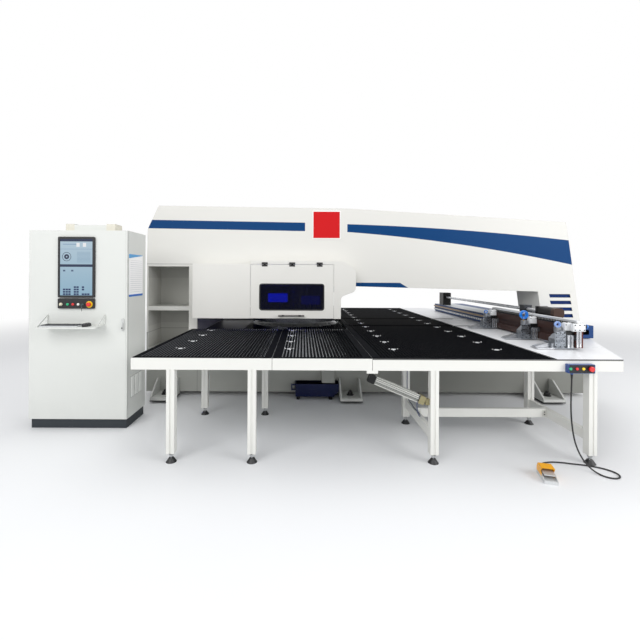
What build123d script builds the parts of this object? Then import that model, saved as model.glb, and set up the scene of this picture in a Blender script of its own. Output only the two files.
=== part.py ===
from build123d import *
import math
import os

# Turret punch press with brush tables, a sheet gantry and a separate control cabinet.
# Millimetres. While it is drawn, X = 0 is the turret's axis, Y = 0 the front edge of the
# tables and Z = 0 the floor. The operator stands at -Y. Each piece is moved before it is
# written, so that the origin lies on the floor under the middle of the whole machine.

# General clearances
face_gap = 0.3
shaft_gap = 0.05
seam_gap = 3

# Bridge frame
frame_depth = 1600
frame_left = -1955
frame_toe = 3941
frame_bottom = 60
base_top = 840
column_top = 1750
column_right = -1280
beam_top_left = 2525
beam_top_bend = 2498
beam_top_right = 2331
beam_bend_x = 740
beam_top_right_x = 3614
beam_top_left_x = -1803
left_bevel_x = -1947
left_bevel_z = 2210
right_knee_x = 3779
right_knee_z = 1176
throat_top_left = 1464
throat_top_right = 1407
throat_slope_x = 820
throat_right_x = 3243
pocket_right = 3450
pocket_top = 1150
right_column_depth = 530
right_cover_depth = 390
right_cover_step = 14
throat_wall_lean = 35

# Louvres in the right column
louvre_count = 4
louvre_pitch = 88
louvre_left = 3390
louvre_width = 276
louvre_height = 46
louvre_lean = 12
louvre_top = 1374
louvre_depth = 15

# Tool shelf in the left column
shelf_right = -1395
shelf_wall = 20
shelf_depth = 450
shelf_top = 1718
shelf_plate_top = 1189
shelf_plate = 56
shelf_bottom = 640

# Machine feet
foot_xs = (-1650, 735, 3272)
foot_width = 277
foot_reach = 300
foot_plate = 50
foot_pad = 20
foot_pad_radius = 75
foot_gusset_height = 180
foot_gusset = 20
foot_bolt_radius = 18
foot_bolt_height = 60

# Turret housing
hood_reach = 200
hood_wall = 6
hood_left = -1289
hood_bottom = 1053
hood_step_x = -549
hood_top = 1793
hood_top_right = 653
hood_shoulder_z = 1671
hood_right = 795
hood_right_low = 1407
hood_waist_z = 1334
hood_waist_x = 605
hood_corner = 60

# Housing door, hung from its top edge
door_left = -549
door_right = 512
door_bottom = 1056
door_top = 1744
door_thick = 22
hinge_radius = 9
hinge_length = 76
hinge_knuckle = hinge_length / 3
hinge_xs = (-369, -18, 332)
window_left = -437
window_right = 392
window_bottom = 1158
window_top = 1499
window_corner = 35
window_thick = 6
handle_left = -192
handle_right = 139
handle_z = 1095
handle_radius = 11
handle_stand = 45
handle_post_radius = 8.8

# Turrets and ram
turret_radius = 640
turret_bay = 720
upper_turret_bottom = 950
upper_turret_thick = 180
lower_turret_top = 893
lower_turret_thick = 110
turret_hub_radius = 190
station_radius = 540
station_count = 16
inner_station_radius = 400
inner_station_count = 8
tool_radius = 42
inner_tool_radius = 30
tool_height = 90
die_depth = 12
ram_radius = 48
ram_chamfer = 5
ram_stroke = 37
ram_cylinder_radius = 120
ram_cylinder_length = 110

# Tables
table_depth = 5200
table_height = 900
beam_height = 100
beam_wide = 40
edge_drop = 5
tray_bottom = 840
tray_thick = 38
brush_margin = 10
brush_pitch = 30
brush_wide = 17
left_table_left = -1340
left_table_right = -138
middle_table_right = 713
right_table_right = 2285
table_back_gap = 20
turret_cut = 28
plate_front_right = 2845
plate_wing_x = 3430
plate_wing_run = 640
seam_plate_width = 95
seam_plate_height = 25
seam_plate_thick = 8

# Ball transfers
ball_rows_short = (-1050, -10)
ball_rows_long = (984, 1973)
ball_pitch = 400
ball_plate = 50
ball_clear = 58
ball_radius = 19
ball_proud = 3

# Legs
leg_size = 70
leg_slot_width = 14
leg_slot_depth = 11.6666666667
leg_front_y = 35
left_leg_xs = (-1003, -311)
left_leg_inset = 650
right_leg_xs = (1245, 2590)
right_leg_inset = 895
leg_bottom = 78
brace_height = 85
brace_wide = 40
brace_z = 190
cross_brace_inset = 325
level_radius = 45.5
level_height = 34
level_taper = 35
level_stud_radius = 8

# Gantry guides and beam
rail_spread = 450
rail_width = 34
rail_height = 36
rail_spare = 260
rail_right = 3440
rail_slot = 70
guide_length = 130
guide_width = 60
guide_bottom = 850
gantry_left = 2840
gantry_right = 3413
gantry_bottom = 908
gantry_top = 1050
gantry_reach = 1536
gantry_end = 247
gantry_travel = 1250
side_rail_zs = (955, 1010)
side_rail_height = 24
side_rail_reach = 28
end_pocket_width = 141
end_pocket_height = 56
end_pocket_right = 3364
end_pocket_depth = 60

# Carriage screw
screw_x = 2920
screw_z = 1200
screw_radius = 20
motor_radius = 58
motor_corner = 44
motor_overhang = 150
motor_length = 290
bracket_thick = 26
bracket_width = 130
bearing_length = 200
bearing_width = 150
bearing_top = 1288
carriage_travel = 2450
nut_spare = 70

# Carriage bar and clamps
bar_left = 2730
bar_width = 70
bar_bottom = 919
bar_top = 1122
bar_overhang = 664
bar_length = 1600
bar_groove_height = 60
bar_groove_depth = 24
bar_strip = 38
bar_cap = 20
bar_cap_width = 56
block_length = 150
block_height = 44
block_places = (750, 1400)
nut_place = 1080
nut_length = 100
nut_size = 96
arm_thick = 26
clamp_places = (84, 641, 1511)
clamp_width = 110
clamp_tip = 2380
clamp_jaw_width = 58
clamp_base = 905
clamp_base_thick = 10
clamp_top = 1040
clamp_body_front = 2560
jaw_gap = 2
jaw_pivot_x = 2540
jaw_pivot_z = 938
jaw_pin_radius = 7
jaw_heel_reach = 11.9
jaw_heel_drop = 10.5
jaw_heel_rise = 11.9
jaw_nose_rise = 18.2
cheek_reach = 42
clamp_can_radius = 36
clamp_can_height = 70
lever_length = 105
lever_lean = (-0.25, -0.4, 0.88)
lever_radius = 8

# Control cabinet
cabinet_left = -2719
cabinet_width = 1016
cabinet_front = 705
cabinet_depth = 450
cabinet_height = 2062
plinth_height = 100
plinth_inset = 12
cabinet_wall = 18
cabinet_door_thick = 28
door_gap = 2
panel_plate_thick = 12
panel_plate_gap = 60
drive_width = 120
drive_height = 240
drive_reach = 90
drive_pitch = 150
drive_row_pitch = 420
drive_columns = 4
drive_rows = 3
cooler_reach = 76
cooler_bottom = 680
cooler_top = 1605
cooler_depth = 330
vent_left = -2389
vent_width = 522
vent_height = 64
vent_front = 780
vent_depth = 150
vent_cap_width = 92
vent_cap_height = 75
side_louvre_front = 796
side_louvre_pitch = 92
side_louvre_count = 3
side_louvre_width = 66
side_louvre_bottom = 300
side_louvre_height = 220
side_louvre_proud = 8
side_louvre_taper = 30
latch_x = -1744
latch_z = 1084
latch_width = 30
latch_height = 130

# Operator panel on the cabinet door
monitor_left = -2410
monitor_width = 378
monitor_bottom = 1364
monitor_height = 627
monitor_thick = 20
monitor_bezel = 22
screen_recess = 3
strip_bottom = 1250
strip_gap = 10
knob_inset = 36
knob_pitch = 68
button_pitch = 55
key_pitch = 48
key_shank_half = 3
key_bow_half = 11
key_hang = 70
stop_pitch = 65
button_z = 1294
button_radius = 13
button_proud = 9
knob_radius = 15.6
knob_grip_length = 28.6
knob_grip_width = 9.1
knob_grip_turn = 60
button_travel = 4
stop_radius = 22
stop_proud = 26
stop_travel = 5
stop_ring_radius = 34
stop_ring_thick = 2

# Keyboard tray
tray_left = -2521
tray_width = 595
tray_reach = 190
tray_top = 1077
tray_sheet = 4
tray_apex = 1188
tray_lip = 14
keyboard_length = 380
keyboard_width = 130
keyboard_height = 20
keyboard_case_height = 12
key_columns = 14
key_rows = 5
mouse_length = 105
mouse_width = 60
mouse_height = 34
mouse_corner = 27

# Control box on the front beam
box_left = 2350
box_bottom = 790
box_height = 74
box_reach = 42
box_button_inset = 14
box_button_pitch = 54
box_stop_pitch = 61
box_stop_inset = 40
box_button_z = 829
box_button_radius = 12
box_stop_radius = 22

# Foot pedal
pedal_x = 2061
pedal_y = -215
pedal_turn = -15.5
pedal_width = 95
pedal_length = 184
pedal_base_height = 26
pedal_height = 92
pedal_back_share = 0.6
pedal_hood_reach = 26
pedal_side_height = 40
pedal_wall = 4
treadle_thick = 14
treadle_pin_share = 0.25
gland_radius = 10
gland_length = 14
cable_diameter = 12
cord_lead = 45
cord_lift = 0.5
cord_arc_share = 0.45

# Air cylinder below the front beam
cylinder_top_x = 690
cylinder_top_z = 728
cylinder_low_x = 1210
cylinder_low_z = 512
cylinder_y = 45
cylinder_radius = 35
cylinder_cap = 50
barrel_radius = 30.45
tie_rod_spacing = 59.5
tie_rod_radius = 4.375
hose_diameter = 8
hose_rise = 6

# Slug bin below the turret
bin_left = 30
bin_width = 560
bin_proud = 144
bin_depth = 640
bin_bottom = 43
bin_height = 160
bin_wall = 5
bin_gap = 10
bin_chamfer = 70
bin_foot = 24
bin_prong = 16
bin_prong_reach = 55
bin_prong_place = 40
bin_prong_zs = (112, 175)
chute_left = 372
chute_width = 165
chute_height = 140
chute_reach = 120

# Derived places
mid_y = table_depth / 2
frame_front = mid_y - frame_depth / 2
frame_back = frame_front + frame_depth
mid_plane = Plane.XZ.offset(-mid_y)
front_slope = (frame_toe - right_knee_x) / (right_knee_z - frame_bottom)
upper_slope = (right_knee_x - beam_top_right_x) / (beam_top_right - right_knee_z)
base_right_x = right_knee_x + front_slope * (right_knee_z - base_top)
column_right_x = beam_top_right_x + upper_slope * (beam_top_right - throat_top_right)
beam_bottom = table_height - edge_drop - beam_height
beam_top = table_height - edge_drop
rail_ys = (mid_y - rail_spread, mid_y + rail_spread)
rail_left = gantry_left - gantry_travel - rail_spare
left_leg_back_y = frame_front - left_leg_inset
right_leg_back_y = frame_front - right_leg_inset
cross_brace_y = right_leg_back_y - cross_brace_inset
plate_wing_y = frame_front - plate_wing_run
bin_front = frame_front - bin_proud
gantry_near = mid_y - gantry_reach
motor_near = gantry_near - motor_overhang
bar_near = gantry_near - bar_overhang
bar_far = bar_near + bar_length
block_ys = [bar_near + place for place in block_places]
nut_near = bar_near + nut_place
clamp_ys = [bar_near + place for place in clamp_places]
bearing_near = nut_near + nut_length + carriage_travel + nut_spare
gantry_far = bearing_near + bearing_length + gantry_end
station_x = station_radius
hinge_y = frame_front - hood_reach - hinge_radius
hinge_z = door_top + hinge_radius
cabinet_right = cabinet_left + cabinet_width
knob_x = monitor_left + knob_inset
green_x = knob_x + knob_pitch
red_x = green_x + button_pitch
white_x = red_x + button_pitch
key_x = white_x + key_pitch
stop_x = key_x + stop_pitch
box_buttons = [box_left + box_button_inset + i * box_button_pitch for i in range(3)]
box_stop_x = box_buttons[-1] + box_stop_pitch
cable_x = (box_buttons[0] + box_buttons[1]) / 2
box_width = box_stop_x + box_stop_inset - box_left
cabinet_back = cabinet_front + cabinet_depth
pedal_angle = math.radians(pedal_turn)
pedal_front = pedal_y - (pedal_length * math.cos(pedal_angle) - pedal_width * math.sin(pedal_angle)) / 2
middle_x = (cabinet_left - cooler_reach + frame_toe) / 2
middle_y = (pedal_front + table_depth - leg_front_y + level_radius) / 2

os.makedirs("parts", exist_ok=True)


def keep(piece, name):
    """Moves a finished piece to the machine's origin, labels it and writes it."""
    moved = piece.part.moved(Location((-middle_x, -middle_y, 0)))
    moved.label = name
    export_step(moved, f"parts/{name}.step")


def front_plane(y):
    """A plane at depth y whose sketch runs in X and Z, as seen from the operator's side."""
    return Plane.XZ.offset(-y)


def side_plane(x):
    """A plane at x whose sketch runs in Y and Z."""
    return Plane.YZ.offset(x)


def block(x, y, z, corner=(Align.MIN, Align.MIN, Align.MIN)):
    """One straight bar or plate between two corners."""
    with Locations((x[0], y[0], z[0])):
        Box(x[1] - x[0], y[1] - y[0], z[1] - z[0], align=corner)


# Base of the frame, with the turret's bay and the shelf's lower bay in it, and the slug bin's bay below
shelf_mid = (frame_left + shelf_wall + shelf_right) / 2
shelf_width = shelf_right - frame_left - shelf_wall
with BuildPart() as base_frame:
    with BuildSketch(front_plane(frame_front)):
        with BuildLine():
            Polyline(
                (frame_left, frame_bottom),
                (frame_toe, frame_bottom),
                (base_right_x, base_top),
                (turret_bay, base_top),
                (turret_bay, lower_turret_top - lower_turret_thick - 2 * bin_gap),
                (-turret_bay, lower_turret_top - lower_turret_thick - 2 * bin_gap),
                (-turret_bay, base_top),
                (frame_left, base_top),
                close=True,
            )
        make_face()
    extrude(amount=-frame_depth)
    with BuildSketch(front_plane(frame_front)):
        with Locations((bin_left + bin_width / 2, (frame_bottom + bin_bottom + bin_height + bin_gap) / 2)):
            Rectangle(bin_width + 2 * bin_gap, bin_bottom + bin_height + bin_gap - frame_bottom)
    extrude(amount=-(bin_front + bin_depth + bin_gap - frame_front), mode=Mode.SUBTRACT)
    with BuildSketch(front_plane(frame_front)):
        with Locations((shelf_mid, (shelf_bottom + base_top) / 2)):
            Rectangle(shelf_width, base_top - shelf_bottom)
    extrude(amount=-shelf_depth, mode=Mode.SUBTRACT)
    # Closed chute over the bin, whose front leans out
    chute_foot = bin_bottom + bin_height + bin_gap
    with BuildSketch(side_plane(chute_left)):
        with BuildLine():
            Polyline(
                (frame_front, chute_foot),
                (frame_front, chute_foot + chute_height),
                (frame_front - chute_reach / 2, chute_foot + chute_height),
                (frame_front - chute_reach, chute_foot),
                close=True,
            )
        make_face()
    extrude(amount=chute_width)
keep(base_frame, "base_frame")

# Left column with the open tool shelf in its front
with BuildPart() as left_column:
    with BuildSketch(Plane.XY.offset(base_top)):
        with Locations(((frame_left + column_right) / 2, frame_front + frame_depth / 2)):
            Rectangle(column_right - frame_left, frame_depth)
    extrude(amount=column_top - base_top)
    lower_top = shelf_plate_top - shelf_plate
    with BuildSketch(front_plane(frame_front)):
        with Locations((shelf_mid, (shelf_plate_top + shelf_top) / 2)):
            Rectangle(shelf_width, shelf_top - shelf_plate_top)
        with Locations((shelf_mid, (base_top + lower_top) / 2)):
            Rectangle(shelf_width, lower_top - base_top)
    extrude(amount=-shelf_depth, mode=Mode.SUBTRACT)
keep(left_column, "left_column")

# Right column with the pocket where the gantry parks, its cover a step deeper into the throat
with BuildPart() as right_column:
    for column_front, column_reach, step in (
        (frame_front, right_cover_depth, 0),
        (frame_front + right_cover_depth, right_column_depth - right_cover_depth, right_cover_step),
    ):
        with BuildSketch(front_plane(column_front)):
            with BuildLine():
                Polyline(
                    (pocket_right + step, base_top),
                    (base_right_x, base_top),
                    (right_knee_x, right_knee_z),
                    (column_right_x, throat_top_right),
                    (throat_right_x + step, throat_top_right),
                    (throat_right_x + throat_wall_lean + step, pocket_top),
                    (pocket_right + step, pocket_top),
                    close=True,
                )
            make_face()
        extrude(amount=-column_reach)
    with BuildSketch(front_plane(frame_front)):
        for row in range(louvre_count):
            top = louvre_top - row * louvre_pitch
            start = louvre_left + row * louvre_lean
            with BuildLine():
                Polyline(
                    (start, top),
                    (start + louvre_width, top),
                    (start + louvre_width + louvre_lean, top - louvre_height),
                    (start + louvre_lean, top - louvre_height),
                    close=True,
                )
            make_face()
    extrude(amount=-louvre_depth, mode=Mode.SUBTRACT)
keep(right_column, "right_column")

# Upper beam, deeper at the turret end and falling towards the right
with BuildPart() as upper_beam:
    with BuildSketch(front_plane(frame_front)):
        with BuildLine():
            Polyline(
                (beam_top_left_x, beam_top_left),
                (beam_bend_x, beam_top_bend),
                (beam_top_right_x, beam_top_right),
                (column_right_x, throat_top_right),
                (throat_right_x, throat_top_right),
                (throat_slope_x, throat_top_left),
                (column_right, throat_top_left),
                (column_right, column_top),
                (frame_left, column_top),
                (left_bevel_x, left_bevel_z),
                close=True,
            )
        make_face()
    extrude(amount=-frame_depth)
keep(upper_beam, "upper_beam")

# Levelling feet of the frame: a gusseted bracket on a pad, three in front and three behind
with BuildPart() as machine_feet:
    for foot_x in foot_xs:
        x_low = foot_x - foot_width / 2
        plate_top = foot_pad + foot_plate
        block((x_low, x_low + foot_width), (frame_front - foot_reach, frame_front), (foot_pad, plate_top))
        for gusset_x in (x_low, x_low + foot_width - foot_gusset):
            with BuildSketch(side_plane(gusset_x)):
                with BuildLine():
                    Polyline(
                        (frame_front, plate_top),
                        (frame_front, plate_top + foot_gusset_height),
                        (frame_front - foot_reach / 4, plate_top + foot_gusset_height),
                        (frame_front - foot_reach, plate_top),
                        close=True,
                    )
                make_face()
            extrude(amount=foot_gusset)
        with Locations((foot_x, frame_front - foot_reach / 2, 0)):
            Cylinder(foot_pad_radius, foot_pad, align=(Align.CENTER, Align.CENTER, Align.MIN))
        with Locations((foot_x, frame_front - foot_reach / 2, plate_top)):
            Cylinder(foot_bolt_radius, foot_bolt_height, align=(Align.CENTER, Align.CENTER, Align.MIN))
    mirror(about=mid_plane)
keep(machine_feet, "machine_feet")


def hood_shell(front, hollow_front, with_door):
    """Housing over the turrets from depth front on, hollow from hollow_front on and open below."""
    with BuildPart() as shell:
        with BuildSketch(front_plane(front)) as outline:
            with BuildLine():
                Polyline(
                    (hood_waist_x, hood_waist_z),
                    (hood_waist_x, hood_bottom),
                    (hood_left, hood_bottom),
                    (hood_left, column_top),
                    (hood_step_x, column_top),
                    (hood_step_x, hood_top),
                    (hood_top_right, hood_top),
                    (hood_right, hood_shoulder_z),
                    (hood_right, hood_right_low),
                    close=True,
                )
            make_face()
            corners = outline.vertices().filter_by(lambda corner: corner.X > hood_step_x)
            fillet(corners.sort_by(Axis.Y)[1:], hood_corner)
        extrude(amount=-hood_reach)
        with BuildSketch(front_plane(hollow_front)):
            add(outline.sketch_local)
            offset(amount=-hood_wall, kind=Kind.INTERSECTION, mode=Mode.REPLACE)
            with Locations(((hood_left + hood_waist_x) / 2, hood_bottom)):
                Rectangle(hood_waist_x - hood_left - 2 * hood_wall, 4 * hood_wall)
        extrude(amount=hood_wall - hood_reach, mode=Mode.SUBTRACT)
        if with_door:
            with BuildSketch(front_plane(front)):
                with Locations(((door_left + door_right) / 2, (hood_bottom + door_top + seam_gap) / 2)):
                    Rectangle(door_right - door_left + 2 * seam_gap, door_top + seam_gap - hood_bottom)
            extrude(amount=-2 * hood_wall, mode=Mode.SUBTRACT)
            for hinge_x in hinge_xs:
                with BuildSketch(side_plane(hinge_x + hinge_knuckle / 2)):
                    with Locations((hinge_y, hinge_z)):
                        Circle(hinge_radius)
                    with Locations((front - hinge_radius / 2, hinge_z + hinge_radius)):
                        Rectangle(hinge_radius, 2 * hinge_radius)
                extrude(amount=hinge_knuckle)
                with BuildSketch(side_plane(hinge_x - hinge_length / 2)):
                    with Locations((hinge_y, hinge_z)):
                        Circle(hinge_radius)
                    with Locations((front - hinge_radius / 2, hinge_z + hinge_radius)):
                        Rectangle(hinge_radius, 2 * hinge_radius)
                extrude(amount=hinge_knuckle)
    return shell


turret_hood = hood_shell(frame_front - hood_reach, frame_front - hood_reach + hood_wall, True)
keep(turret_hood, "turret_hood")
rear_hood = hood_shell(frame_back, frame_back, False)
keep(rear_hood, "rear_hood")

# Door of the housing: a folded panel with a window, and hinge eyes between those of the hood
with BuildPart() as hood_door:
    front = frame_front - hood_reach
    with BuildSketch(front_plane(front)):
        with Locations(((door_left + door_right) / 2, (door_bottom + door_top) / 2)):
            Rectangle(door_right - door_left, door_top - door_bottom)
        with Locations(((window_left + window_right) / 2, (window_bottom + window_top) / 2)):
            RectangleRounded(
                window_right - window_left, window_top - window_bottom, window_corner, mode=Mode.SUBTRACT
            )
    extrude(amount=-door_thick)
    for hinge_x in hinge_xs:
        with BuildSketch(side_plane(hinge_x - hinge_knuckle / 2 + face_gap)):
            with Locations((hinge_y, hinge_z)):
                Circle(hinge_radius)
            with Locations((front - hinge_radius / 2, door_top - hinge_radius / 2)):
                Rectangle(hinge_radius, 3 * hinge_radius)
        extrude(amount=hinge_knuckle - 2 * face_gap)
keep(hood_door, "hood_door")

with BuildPart() as door_window:
    with BuildSketch(front_plane(front + (door_thick - window_thick) / 2)):
        with Locations(((window_left + window_right) / 2, (window_bottom + window_top) / 2)):
            RectangleRounded(window_right - window_left, window_top - window_bottom, window_corner)
    extrude(amount=-window_thick)
keep(door_window, "door_window")

with BuildPart() as door_handle:
    with BuildSketch(side_plane(handle_left)):
        with Locations((front - handle_stand, handle_z)):
            Circle(handle_radius)
    extrude(amount=handle_right - handle_left)
    for post_x in (handle_left + 2 * handle_radius, handle_right - 2 * handle_radius):
        with BuildSketch(front_plane(front)):
            with Locations((post_x, handle_z)):
                Circle(handle_post_radius)
        extrude(amount=handle_stand)
keep(door_handle, "door_handle")

# Upper turret: a thick disc on a hub that hangs from the beam
with BuildPart() as upper_turret:
    upper_top = upper_turret_bottom + upper_turret_thick
    with BuildSketch(Plane.XY.offset(upper_turret_bottom)):
        with Locations((0, mid_y)):
            Circle(turret_radius)
    extrude(amount=upper_turret_thick)
    with BuildSketch(Plane.XY.offset(upper_top)):
        with Locations((0, mid_y)):
            Circle(turret_hub_radius)
    extrude(amount=throat_top_left - face_gap - upper_top)
keep(upper_turret, "upper_turret")


def station_points(radius, count):
    """Centres of one ring of stations, the first towards +X at the punching place."""
    turn = 2 * math.pi / count
    return [(radius * math.cos(turn * i), mid_y + radius * math.sin(turn * i)) for i in range(count)]


# Punch holders standing on the disc, two rings of separate tools
with BuildPart() as punch_tools:
    with BuildSketch(Plane.XY.offset(upper_top)):
        with Locations(*station_points(station_radius, station_count)):
            Circle(tool_radius)
        with Locations(*station_points(inner_station_radius, inner_station_count)):
            Circle(inner_tool_radius)
    extrude(amount=tool_height)
keep(punch_tools, "punch_tools")

# Lower turret with a die seat below each punch
with BuildPart() as lower_turret:
    with BuildSketch(Plane.XY.offset(lower_turret_top - lower_turret_thick)):
        with Locations((0, mid_y)):
            Circle(turret_radius)
    extrude(amount=lower_turret_thick)
    with BuildSketch(Plane.XY.offset(lower_turret_top)):
        with Locations(*station_points(station_radius, station_count)):
            Circle(tool_radius)
        with Locations(*station_points(inner_station_radius, inner_station_count)):
            Circle(inner_tool_radius)
    extrude(amount=-die_depth, mode=Mode.SUBTRACT)
    with BuildSketch(Plane.XY.offset(lower_turret_top - lower_turret_thick)):
        with Locations((0, mid_y)):
            Circle(turret_hub_radius)
    extrude(amount=-(2 * bin_gap - face_gap))
keep(lower_turret, "lower_turret")

# Ram over the punching place, in its cylinder under the beam
ram_low = upper_top + tool_height + ram_stroke + 1
with BuildPart() as ram_cylinder:
    with BuildSketch(Plane.XY.offset(throat_top_left)):
        with Locations((station_x, mid_y)):
            Circle(ram_cylinder_radius)
            Circle(ram_radius + shaft_gap, mode=Mode.SUBTRACT)
    extrude(amount=-ram_cylinder_length)
keep(ram_cylinder, "ram_cylinder")

with BuildPart() as ram:
    with BuildSketch(Plane.XY.offset(ram_low)):
        with Locations((station_x, mid_y)):
            Circle(ram_radius)
    extrude(amount=throat_top_left - face_gap - ram_low)
    chamfer(ram.edges().group_by(Axis.Z)[0], ram_chamfer)
keep(ram, "ram")


def table_edges(x, y):
    """White beams round one table, as separate lengths that meet face to face."""
    height = (beam_bottom, beam_top)
    block(x, (y[0], y[0] + beam_wide), height)
    block((x[0], x[0] + beam_wide), (y[0] + beam_wide, y[1] - beam_wide), height)
    block((x[1] - beam_wide, x[1]), (y[0] + beam_wide, y[1] - beam_wide), height)
    block(x, (y[1] - beam_wide, y[1]), height)


def leg(x, y):
    """One square leg with a groove down its front and back, as on slotted profile."""
    with BuildPart(mode=Mode.PRIVATE) as post:
        with BuildSketch(Plane.XY.offset(leg_bottom)):
            with Locations((x, y)):
                Rectangle(leg_size, leg_size)
            with Locations((x, y - leg_size / 2), (x, y + leg_size / 2)):
                Rectangle(leg_slot_width, leg_slot_depth, mode=Mode.SUBTRACT)
        extrude(amount=beam_bottom - leg_bottom)
    add(post.part)


def mirrored(builder):
    """The same pieces again behind the frame."""
    return builder.part.mirror(mid_plane)


left_back = frame_front - table_back_gap
right_front_back = frame_front - seam_gap
slot_low = rail_ys[0] - rail_slot / 2
slot_high = rail_ys[0] + rail_slot / 2

# Ball transfers stand in rows, and the rows are even about the middle of the frame
ball_ys = [mid_y - ball_pitch * (i + 0.5) for i in range(int(mid_y / ball_pitch))]
front_balls = [(x, y) for x in ball_rows_long for y in ball_ys]
front_balls += [(x, y) for x in ball_rows_short for y in ball_ys if y < left_back]
balls = front_balls + [(x, table_depth - y) for x, y in front_balls]

with BuildPart() as left_front:
    table_edges((left_table_left, left_table_right - seam_gap), (0, left_back))
    for leg_x in left_leg_xs:
        for leg_y in (leg_front_y, left_leg_back_y):
            leg(leg_x, leg_y)
        block(
            (leg_x - leg_size / 2, leg_x + leg_size / 2),
            (beam_wide, left_back - beam_wide),
            (beam_bottom, tray_bottom),
        )
    # Spacers at the bolts to the middle table
    for spacer_y in (2 * beam_wide, left_back - 3 * beam_wide):
        block(
            (left_table_right - seam_gap, left_table_right),
            (spacer_y, spacer_y + beam_wide),
            (beam_bottom + beam_wide / 2, beam_top - beam_wide / 2),
        )
with BuildPart() as left_table_frame:
    add(left_front.part)
    add(mirrored(left_front))
keep(left_table_frame, "left_table_frame")

# The middle table has no legs: it hangs between its neighbours on plates below the seams
with BuildPart() as middle_front:
    table_edges((left_table_right, middle_table_right), (0, right_front_back))
    block(
        (middle_table_right - seam_plate_width / 2, middle_table_right + seam_plate_width / 2),
        (0, seam_plate_thick),
        (beam_bottom - seam_plate_height, beam_bottom),
    )
with BuildPart() as middle_table_frame:
    add(middle_front.part)
    add(mirrored(middle_front))
keep(middle_table_frame, "middle_table_frame")

with BuildPart() as right_front:
    height = (beam_bottom, beam_top)
    right_start = middle_table_right + seam_gap
    block((right_start, plate_front_right), (0, beam_wide), height)
    block((right_start, right_start + beam_wide), (beam_wide, right_front_back), height)
    block(
        (right_table_right - beam_wide, right_table_right),
        (beam_wide, right_front_back),
        (beam_bottom, tray_bottom),
    )
    for leg_x, leg_beam_top in zip(right_leg_xs, (tray_bottom, beam_top)):
        sides = (leg_x - leg_size / 2, leg_x + leg_size / 2)
        block(sides, (beam_wide, right_front_back), (beam_bottom, leg_beam_top))
        for leg_y in (leg_front_y, right_leg_back_y):
            leg(leg_x, leg_y)
        block(
            (leg_x - brace_wide / 2, leg_x + brace_wide / 2),
            (leg_front_y + leg_size / 2, right_leg_back_y - leg_size / 2),
            (brace_z, brace_z + brace_height),
        )
    block(
        (right_leg_xs[0] + brace_wide / 2, right_leg_xs[1] - brace_wide / 2),
        (cross_brace_y, cross_brace_y + brace_wide),
        (brace_z, brace_z + brace_height),
    )
    # Packing under the plate where it passes through the throat
    block(sides, (frame_front, slot_low), (base_top, beam_top))
    block(sides, (slot_high, mid_y), (base_top, beam_top))
with BuildPart() as right_table_frame:
    add(right_front.part)
    add(mirrored(right_front))
keep(right_table_frame, "right_table_frame")

# Levelling feet below the legs
with BuildPart() as feet_front:
    spots = [(x, y) for x in left_leg_xs for y in (leg_front_y, left_leg_back_y)]
    spots += [(x, y) for x in right_leg_xs for y in (leg_front_y, right_leg_back_y)]
    for spot_x, spot_y in spots:
        with BuildSketch(Plane.XY):
            with Locations((spot_x, spot_y)):
                Circle(level_radius)
        extrude(amount=level_height, taper=level_taper)
        with BuildSketch(Plane.XY.offset(level_height)):
            with Locations((spot_x, spot_y)):
                Circle(level_stud_radius)
        extrude(amount=leg_bottom - level_height)
with BuildPart() as table_feet:
    add(feet_front.part)
    add(mirrored(feet_front))
keep(table_feet, "table_feet")


def brush_panel(x, y, cut=False, cover=None):
    """One brush bed: a tray with bristle strips along Y, cut round the turret if asked. A thin
    edging covers the beams from the first to the second X of cover, and in front from its Y."""
    with BuildPart() as bed:
        tray_top_z = tray_bottom + tray_thick
        block(x, y, (tray_bottom, tray_top_z))
        count = int((x[1] - x[0]) / brush_pitch)
        first = (x[0] + x[1]) / 2 - (count - 1) * brush_pitch / 2
        with BuildSketch(Plane.XY.offset(tray_top_z)):
            with Locations(*[(first + i * brush_pitch, (y[0] + y[1]) / 2) for i in range(count)]):
                Rectangle(brush_wide, y[1] - y[0])
        extrude(amount=table_height - tray_top_z)
        if cover:
            edging = (beam_top, table_height)
            strip_reach = (count - 1) * brush_pitch / 2 - brush_wide / 2
            middle = (x[0] + x[1]) / 2
            block((cover[0], middle - strip_reach), (cover[2], y[1]), edging)
            if cover[1] > x[1]:
                block((middle + strip_reach, cover[1]), (cover[2], y[1]), edging)
            if cover[2] < y[0]:
                block((cover[0], cover[1]), (cover[2], y[0]), edging)
        places = [(bx, by) for bx, by in balls if x[0] < bx < x[1] and y[0] < by < y[1]]
        if places:
            with BuildSketch(Plane.XY.offset(tray_top_z)):
                with Locations(*places):
                    Rectangle(ball_clear, ball_clear)
            extrude(amount=table_height - tray_top_z, mode=Mode.SUBTRACT)
        if cut:
            with BuildSketch(Plane.XY.offset(tray_bottom)):
                with Locations((0, mid_y)):
                    Circle(turret_radius + turret_cut)
            extrude(amount=table_height - tray_bottom, mode=Mode.SUBTRACT)
    return bed


with BuildPart() as left_brush_table:
    left_inside = (left_table_left + beam_wide, left_table_right - seam_gap - beam_wide)
    left_cover = (left_table_left + brush_margin, left_table_right - 2 * seam_gap, brush_margin)
    left_bed = brush_panel(left_inside, (beam_wide, left_back - beam_wide), cover=left_cover)
    add(left_bed.part)
    add(mirrored(left_bed))
keep(left_brush_table, "left_brush_table")

with BuildPart() as middle_brush_table:
    middle_inside = (left_table_right + beam_wide, middle_table_right - beam_wide)
    middle_cover = (left_table_right + seam_gap, middle_table_right - seam_gap, brush_margin)
    middle_bed = brush_panel(middle_inside, (beam_wide, right_front_back - beam_wide), cover=middle_cover)
    add(middle_bed.part)
    add(mirrored(middle_bed))
    inner_bed = brush_panel(middle_inside, (right_front_back, mid_y - seam_gap / 2), cut=True)
    add(inner_bed.part)
    add(mirrored(inner_bed))
keep(middle_brush_table, "middle_brush_table")

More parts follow.
